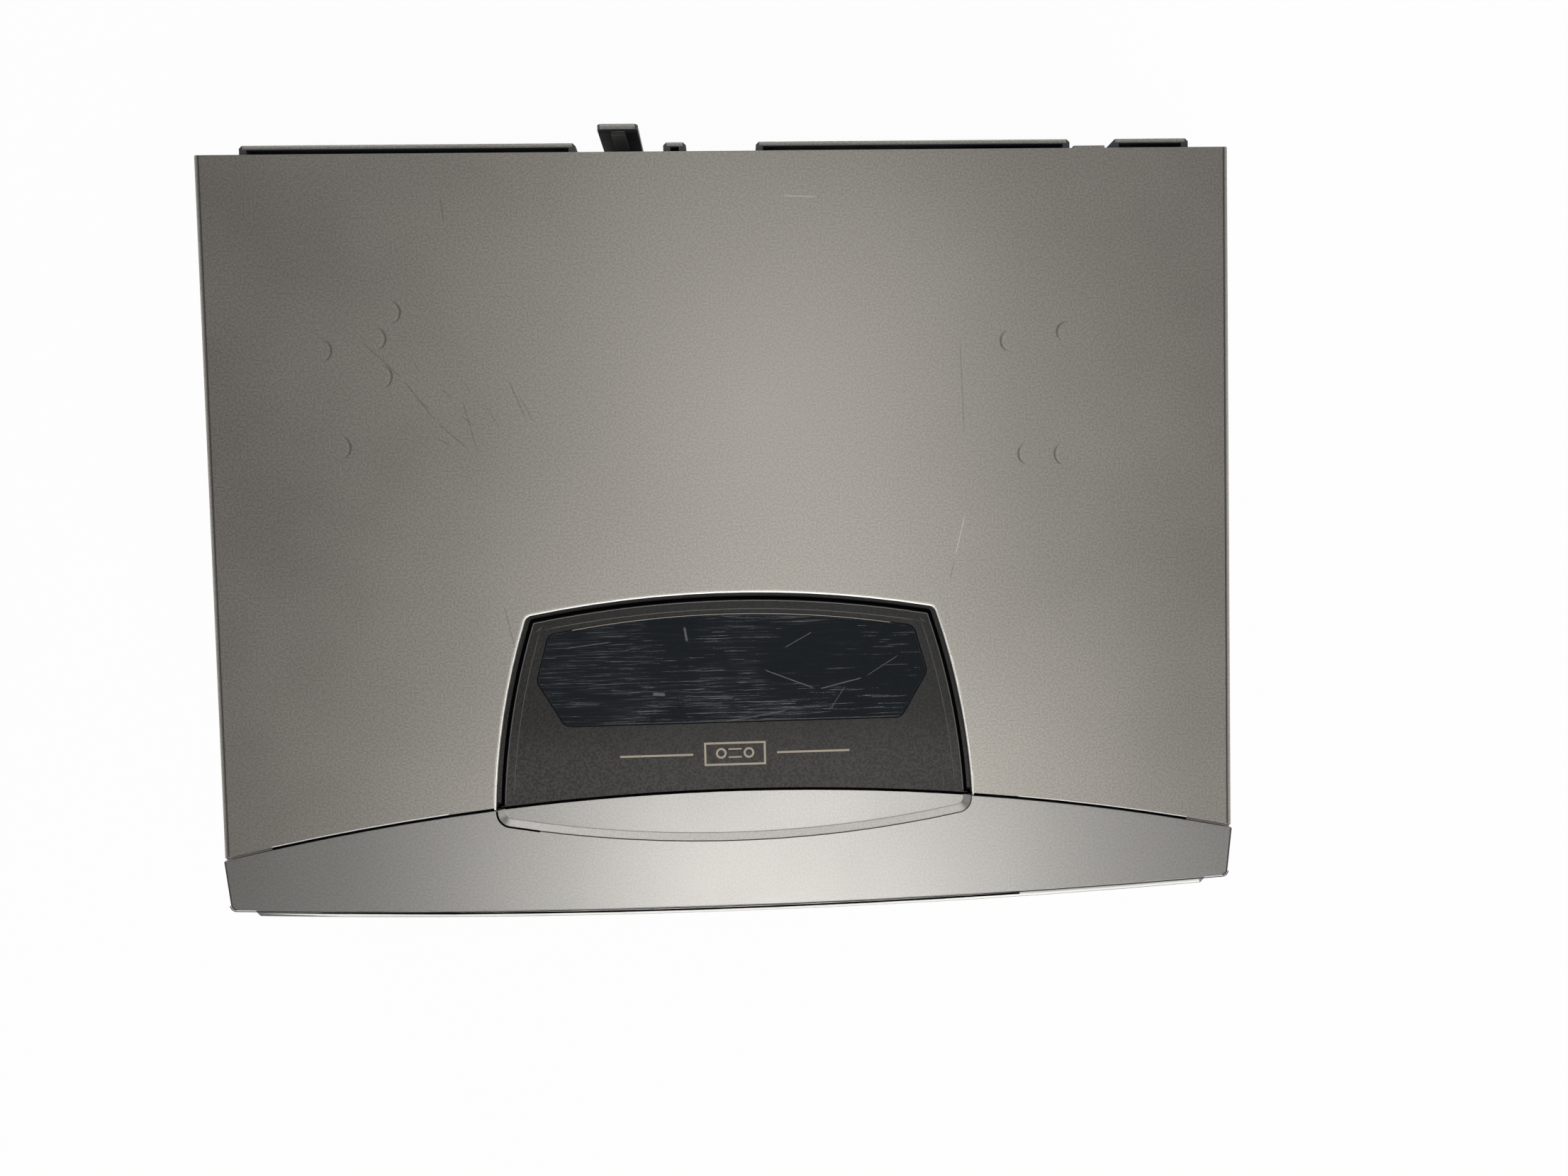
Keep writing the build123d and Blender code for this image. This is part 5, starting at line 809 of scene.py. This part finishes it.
# outer edge of a node's level face, in order round it
def faceLoop(node, height):
    build = bmesh.new()
    build.from_mesh(nodes[node].data)
    bmesh.ops.remove_doubles(build, verts=build.verts, dist=0.000004)
    level = [face for face in build.faces if face.normal.z > 0.999 and abs(face.calc_center_median().z - height) < 0.00005]
    chosen = set(level)
    edges = [edge for face in level for edge in face.edges if sum(other in chosen for other in edge.link_faces) == 1]
    loops = []
    left = set(edges)
    while left:
        edge = left.pop()
        loop = [edge.verts[0], edge.verts[1]]
        while True:
            following = [other for other in loop[-1].link_edges if other in left]
            if not following:
                break
            left.discard(following[0])
            loop.append(following[0].other_vert(loop[-1]))
        loops.append([vert.co.copy() for vert in loop])
    build.free()
    outer = max(loops, key=lambda loop: max(p.x for p in loop) - min(p.x for p in loop))
    return outer[:-1] if (outer[0] - outer[-1]).length < 0.000005 else outer


# the same edge moved inwards, with the part that keep() refuses left off
def insetPath(loop, inset, lift, keep):
    area = sum(a.x * b.y - b.x * a.y for a, b in zip(loop, loop[1:] + loop[:1]))
    sign = 1 if area > 0 else -1
    moved = []
    for before, here, after in zip(loop[-1:] + loop[:-1], loop, loop[1:] + loop[:1]):
        first = (here - before).normalized()
        second = (after - here).normalized()
        normals = [Vector((-way.y, way.x, 0)) * sign for way in (first, second)]
        middle = (normals[0] + normals[1]).normalized()
        reach = inset * mm / max(0.4, middle.dot(normals[0]))
        moved.append((keep(here / mm), here + middle * reach + Vector((0, 0, lift * mm))))
    start = next((i for i, (kept, point) in enumerate(moved) if not kept), None)
    if start is None:
        return [point for kept, point in moved] + [moved[0][1]]
    moved = moved[start:] + moved[:start]
    return [point for kept, point in moved if kept]


def trimTree(name, material):
    growth = Growth(name, {"Width": 0.0005, "Height": 0.0003})
    path = growth.node("GeometryNodeMeshToCurve", {}, {0: growth.given("Geometry")})
    profile = growth.node("GeometryNodeCurvePrimitiveQuadrilateral", {"mode": "RECTANGLE"}, {"Width": growth.given("Width"), "Height": growth.given("Height")})
    swept = growth.node("GeometryNodeCurveToMesh", {}, {"Curve": path, "Profile Curve": profile, "Fill Caps": True})
    return growth.end(swept, material)


def trim(name, points, width, height, material, body):
    line = bpy.data.meshes.new(name + "Path")
    line.from_pydata(points, [(i, i + 1) for i in range(len(points) - 1)], [])
    grow(name, trimTree(name + "Tree", material), {"Width": width * mm, "Height": height * mm}, line, body)


# inset, lift, width, height, colour and roughness of each line round the viewer's frame: the groove is painted shade,
# the rim and the step are painted highlights
viewerBands = {
    "viewerGrooveShade": (0.62, -0.02, 1.2, 0.06, srgb(8, 8, 9), 0.8),
    "viewerRimHighlight": (1.5, -0.02, 0.3, 0.1, srgb(92, 92, 94), 0.35),
    "viewerStepHighlight": (4.4, -0.02, 0.3, 0.08, srgb(72, 70, 66), 0.45),
}


def bandViewer():
    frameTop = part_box("viewer_frame")[0].z + 2.5 * mm
    loop = faceLoop("viewer_frame", frameTop)
    wide = max(abs(p.x) for p in loop) / mm
    aside = lambda p: not (p.y < -88.0 and abs(p.x) < wide - 2.5)
    # seamShadow: black paint for painted shade in the seams, grooves and corners
    gap = Finish("seamShadow", srgb(4, 4, 5), 0.9, specular=0.0).material
    for name, (inset, lift, width, height, color, rough) in viewerBands.items():
        shade = gap if name == "viewerGrooveShade" else mouldedPlastic(name + "Plastic", color, rough, 2600, 0.00001, 0.08)
        trim(name, insetPath(loop, inset, lift + 0.02, aside), width, height, shade, "root")
    # viewerFoot: painted shade along the seam under the viewer
    trim("viewerFoot", insetPath(loop, -0.1, 0.03, lambda p: p.y < -96.5), 1.0, 0.08, gap, "root")
    lensLoop = faceLoop("viewer_lens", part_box("viewer_lens")[1].z)
    glint = mouldedPlastic("lensGlint", srgb(150, 142, 126), 0.3, 2600, 0.00001, 0.06)
    seamShadeGrey = mouldedPlastic("seamShadeGrey", srgb(80, 78, 74), 0.6, 2600, 0.00001, 0.05)
    edgeShadeGrey = mouldedPlastic("edgeShadeGrey", srgb(50, 49, 47), 0.6, 2600, 0.00001, 0.05)
    # painted highlight: pale strips on the cover's rolled edges round the viewer notch and along the seam
    rollHighlight = paintedBezel("paintedRolledHighlight", {"color": srgb(226, 224, 219), "rough": 0.3, "metal": 0.35})
    coverLoop = faceLoop("top_cover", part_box("top_cover")[1].z)
    inNotch = lambda p: abs(p.x) < 87.0 and p.y > -101.5
    trim("viewerRoll", insetPath(coverLoop, -0.6, -0.26, inNotch), 0.85, 0.36, rollHighlight, "root")
    for side in (-1, 1):
        onSeam = lambda p: 95.0 < p.x * side < 172.0 and p.y < -80.0
        edge = insetPath(coverLoop, 0.1, -0.06, onSeam)
        trim("seamRoll" + ("Left" if side < 0 else "Right"), edge, 0.4, 0.14, rollHighlight, "root")
        # seamLine: a black strip over the seam gap, painted shade that makes it look wider
        atGap = lambda p: 85.9 < p.x * side < 165.0 and p.y < -99.0
        edge = insetPath(coverLoop, -0.45, -0.02, atGap)
        trim("seamLine" + ("Left" if side < 0 else "Right"), edge, 0.85, 0.06, gap, "root")
        # seamEnd: painted shade in grey at the seam's ends
        atEnd = lambda p: 162.0 < p.x * side < 179.0 and p.y < -99.0
        edge = insetPath(coverLoop, -0.4, -0.03, atEnd)
        trim("seamEnd" + ("Left" if side < 0 else "Right"), edge, 0.7, 0.06, seamShadeGrey, "root")
    dark = mouldedPlastic("paintedShadeLine", srgb(26, 25, 24), 0.7, 2600, 0.00001, 0.08)
    bezelLoop = faceLoop("front_bezel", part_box("front_bezel")[1].z)
    coverSide = max(abs(p.x) for p in coverLoop) / mm - 1.2
    # coverEdge and bezelEdge: painted shade, dark grey lines along the side edges
    for side in (-1, 1):
        word = "Left" if side < 0 else "Right"
        atSide = lambda p: p.x * side > coverSide
        trim("coverEdge" + word, insetPath(coverLoop, 0.3, 0.01, atSide), 0.5, 0.05, edgeShadeGrey, "root")
        atCheek = lambda p: p.x * side > 175.5 and p.y < -115.0
        trim("bezelEdge" + word, insetPath(bezelLoop, 0.3, 0.01, atCheek), 0.55, 0.05, edgeShadeGrey, "root")
    # recessLine and bezelLine: painted shade round the bezel's recess and along its front edge
    inRecess = lambda p: abs(p.x) < 86.5 and p.y > -122.0
    atFront = lambda p: p.y < -118.0 and abs(p.x) < 178.5
    for name, keep in (("recessLine", inRecess), ("bezelLine", atFront)):
        path = insetPath(bezelLoop, 0.12 if name == "recessLine" else -0.3, 0.0 if name == "recessLine" else -0.05, keep)
        trim(name, path, 0.34, 0.06, dark, "root")
    # recessCorner: wider painted shade in the recess's left corner
    atCorner = lambda p: -86.5 < p.x < -66.0 and p.y > -122.0
    trim("recessCorner", insetPath(bezelLoop, 0.2, 0.01, atCorner), 0.7, 0.06, gap, "root")
    fasciaLoop = faceLoop("front_fascia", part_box("front_fascia")[1].z)
    # painted highlight along the fascia's front top edge
    pale = mouldedPlastic("paintedFasciaHighlight", srgb(240, 239, 235), 0.25, 2600, 0.00001, 0.03)
    trim("fasciaGlint", insetPath(fasciaLoop, 0.9, 0.02, lambda p: p.y < -136.0), 1.4, 0.05, pale, "root")
    trim("lensGlint", insetPath(lensLoop, -0.35, -0.16, lambda p: p.y > -42.0 and abs(p.x) < 60), 0.22, 0.2, glint, "root")


bandViewer()


# flat lettering on the rear: IN, OUT and the channel numbers
rearPrints = {
    "color": srgb(176, 178, 178), "depth": 0.05,
    # word, x, z, height and the depth of the plane that it lies on
    "words": [("OUT", 102, 60, 2.8, "pad"), ("IN", 102, 38, 2.8, "pad"), ("IN", 152, 82.5, 2.8, "pad"), ("OUT", 152, 27.5, 2.8, "pad"),
              ("3", 145.2, 57.8, 2.4, "pad"), ("4", 159.0, 57.8, 2.4, "pad")],
    "planes": {"pad": 131.87},
}


def letter(text, x, z, tall, plane, ink):
    outline = bpy.data.curves.new("word" + text, "FONT")
    outline.body = text
    outline.size = tall * mm * 1.35
    outline.align_x = "CENTER"
    outline.align_y = "CENTER"
    outline.extrude = rearPrints["depth"] * mm / 2
    outline.resolution_u = 3
    holder = bpy.data.objects.new("wordHolder", outline)
    bpy.context.scene.collection.objects.link(holder)
    bpy.context.view_layer.update()
    mesh = bpy.data.meshes.new_from_object(holder.evaluated_get(bpy.context.evaluated_depsgraph_get()))
    bpy.data.objects.remove(holder)
    place = Matrix.Translation(Vector((x, plane, z)) * mm) @ Matrix(((-1, 0, 0, 0), (0, 0, 1, 0), (0, 1, 0, 0), (0, 0, 0, 1)))
    mesh.transform(place)
    name = "rearWord_" + text + "_" + str(round(x)) + "_" + str(round(z))
    return putIn(name, mesh, ink, "root")


def printRear():
    ink = mouldedPlastic("rearInk", rearPrints["color"], 0.5, 2600, 0.00001, 0.05)
    for text, x, z, tall, plane in rearPrints["words"]:
        letter(text, x, z, tall, rearPrints["planes"][plane], ink)
    print("rear words", len(rearPrints["words"]))


printRear()


# painted highlights on the upper rims of the rear pads and the cord hook, as x0, x1, y and z of each
paintedRimHighlights = {"color": srgb(136, 133, 126), "rims": {
    "leftRim": (-164.8, -51.7, 131.2, 89.97), "smallRim": (-18.8, -13.2, 131.2, 89.97), "jackRim": (13.7, 123.0, 131.2, 89.97),
    "aerialRim": (140.6, 165.8, 131.2, 89.97), "hookRim": (-43.0, -30.4, 140.9, 79.97)}}


def wearRims():
    # the rims' lighter colour is a painted highlight
    rimHighlightFinish = mouldedPlastic("paintedRimHighlight", paintedRimHighlights["color"], 0.5, 1500, 0.00003, 0.2)
    for name, (x0, x1, y, z) in paintedRimHighlights["rims"].items():
        path = [Vector((x0, y, z)) * mm, Vector((x1, y, z)) * mm]
        trim(name, path, 1.9 if name == "hookRim" else 1.3, 0.14, rimHighlightFinish, "root")


# the hook's pale middle rib, a painted highlight, between two dark pockets of painted shade, as x0, z0, x1, z1 and y of
# each
hookRelief = {
    "hookRibHighlight": (srgb(104, 101, 95), 138.8, [(-39.2, 60.4, -34.2, 77.6)]),
    "hookPocketShade": (srgb(14, 15, 17), 139.8, [(-43.4, 68.0, -39.4, 77.4), (-34.0, 68.0, -30.0, 77.4)]),
}


def reliefHook():
    for name, (color, depth, plates) in hookRelief.items():
        skin = mouldedPlastic(name, color, 0.5, 1500, 0.00003, 0.18)
        shapes = [bar(x0 + 36.7, z0 - 69.0, x1 + 36.7, z1 - 69.0) for x0, z0, x1, z1 in plates]
        middle = Vector((-36.7, depth + 0.01, 69.0)) * mm
        putIn(name, printMesh(name, shapes, middle, Vector((1, 0, 0)), Vector((0, 0, 1)), 0.12), skin, "root")


wearRims()
reliefHook()
print("geometry nodes pieces", len(bpy.data.node_groups))

# soft studio light over a pale floor
studio = {"floor": srgb(238, 238, 237), "white": 0.96, "world": 0.14, "key": 4.6, "top": 2.0, "front": 13.0, "rear": 14.0, "sides": 4.0}


def studioFloor():
    finish = Finish("paleFloor", studio["floor"], 0.85, specular=0.1)
    cloud = finish.noise(3, 2.0)
    finish.shade(cloud, 0.99, 1.01)
    path = finish.node("ShaderNodeLightPath", {}, {}, "Is Camera Ray")
    glossy = Value(finish, path.socket.node.outputs["Is Glossy Ray"])
    through = Value(finish, path.socket.node.outputs["Is Transmission Ray"])
    seen = (path + glossy + through) * studio["white"]
    glow = finish.node("ShaderNodeEmission", {}, {"Color": (1, 1, 1, 1), "Strength": 1.0})
    lit = Value(finish, finish.shader.outputs["BSDF"])
    both = finish.node("ShaderNodeMixShader", {}, {0: seen, 1: lit, 2: glow})
    finish.tree.links.new(both.socket, finish.tree.nodes["Material Output"].inputs["Surface"])
    build = bmesh.new()
    reach = 3.0
    corners = [build.verts.new((x * reach, y * reach, 0)) for x, y in ((-1, -1), (1, -1), (1, 1), (-1, 1))]
    build.faces.new(corners)
    mesh = bpy.data.meshes.new("studioFloor")
    build.to_mesh(mesh)
    build.free()
    mesh.materials.append(finish.material)
    floor = bpy.data.objects.new("studioFloor", mesh)
    bpy.context.scene.collection.objects.link(floor)
    build = bmesh.new()
    bmesh.ops.create_cone(build, segments=64, radius1=2.9, radius2=2.9, depth=1.3, matrix=Matrix.Translation((0, 0, 0.65)))
    bmesh.ops.reverse_faces(build, faces=build.faces)
    mesh = bpy.data.meshes.new("studioWall")
    build.to_mesh(mesh)
    build.free()
    mesh.materials.append(finish.material)
    wall = bpy.data.objects.new("studioWall", mesh)
    bpy.context.scene.collection.objects.link(wall)


def darkCard(x0, x1, y0, y1, z):
    build = bmesh.new()
    build.faces.new([build.verts.new(point) for point in ((x0, y0, z), (x0, y1, z), (x1, y1, z), (x1, y0, z))])
    mesh = bpy.data.meshes.new("darkCard")
    build.to_mesh(mesh)
    build.free()
    mesh.materials.append(Finish("blackFelt", srgb(20, 20, 20), 0.9, specular=0.0).material)
    card = bpy.data.objects.new("darkCard", mesh)
    bpy.context.scene.collection.objects.link(card)


def softbox(name, place, aim, size, power, color=(1, 1, 1)):
    light = bpy.data.lights.new(name, "AREA")
    light.shape = "RECTANGLE"
    light.size, light.size_y = size
    light.energy = power
    light.color = color
    lamp = bpy.data.objects.new(name, light)
    lamp.location = place
    lamp.rotation_euler = (Vector(aim) - Vector(place)).to_track_quat("-Z", "Y").to_euler()
    bpy.context.scene.collection.objects.link(lamp)


studioFloor()
darkCard(-0.95, -0.36, -0.32, 0.26, 1.15)
darkCard(-0.95, -0.46, -0.75, -0.32, 1.15)
softbox("keyLight", (0.055, -0.47, 1.2), (0, -0.03, 0.05), (0.45, 0.3), studio["key"])
softbox("topLight", (0.07, 0.2, 1.3), (0, 0.05, 0.09), (0.3, 0.3), studio["top"])
softbox("frontLight", (0.3, -1.6, 0.7), (0, 0, 0.05), (1.2, 0.8), studio["front"])
softbox("rearLight", (-0.2, 1.5, 0.5), (0, 0, 0.05), (1.6, 0.9), studio["rear"])
softbox("rightLight", (1.6, 0.0, 0.8), (0, 0, 0.05), (1.0, 0.8), studio["sides"])
softbox("leftLight", (-1.6, 0.0, 0.8), (0, 0, 0.05), (1.0, 0.8), studio["sides"] * 0.35)
world = bpy.data.worlds.new("studioWorld")
bpy.context.scene.world = world
world.use_nodes = True
backdrop = world.node_tree.nodes["Background"]
backdrop.inputs["Color"].default_value = (1, 1, 1, 1)
backdrop.inputs["Strength"].default_value = studio["world"]

# the photograph's place and view, from its own lines
shot = {"focal": 1661.0, "wide": 2212.0, "place": (0.512, -6.433, 510.68),
        "turn": ((0.9987445, -0.02255499, 0.0447292), (0.02453073, 0.99872477, -0.04412575),
                 (-0.04367691, 0.04516759, 0.99802416))}
lens = bpy.data.cameras.new("photoCamera")
lens.sensor_width = 36.0
lens.lens = shot["focal"] * 36.0 / shot["wide"]
lens.clip_start = 0.01
camera = bpy.data.objects.new("photoCamera", lens)
bpy.context.scene.collection.objects.link(camera)
camera.matrix_world = Matrix.Translation(Vector(shot["place"]) * mm) @ Matrix(shot["turn"]).transposed().to_4x4()
bpy.context.scene.camera = camera
bpy.context.scene.view_settings.view_transform = "Standard"
print("light and camera")
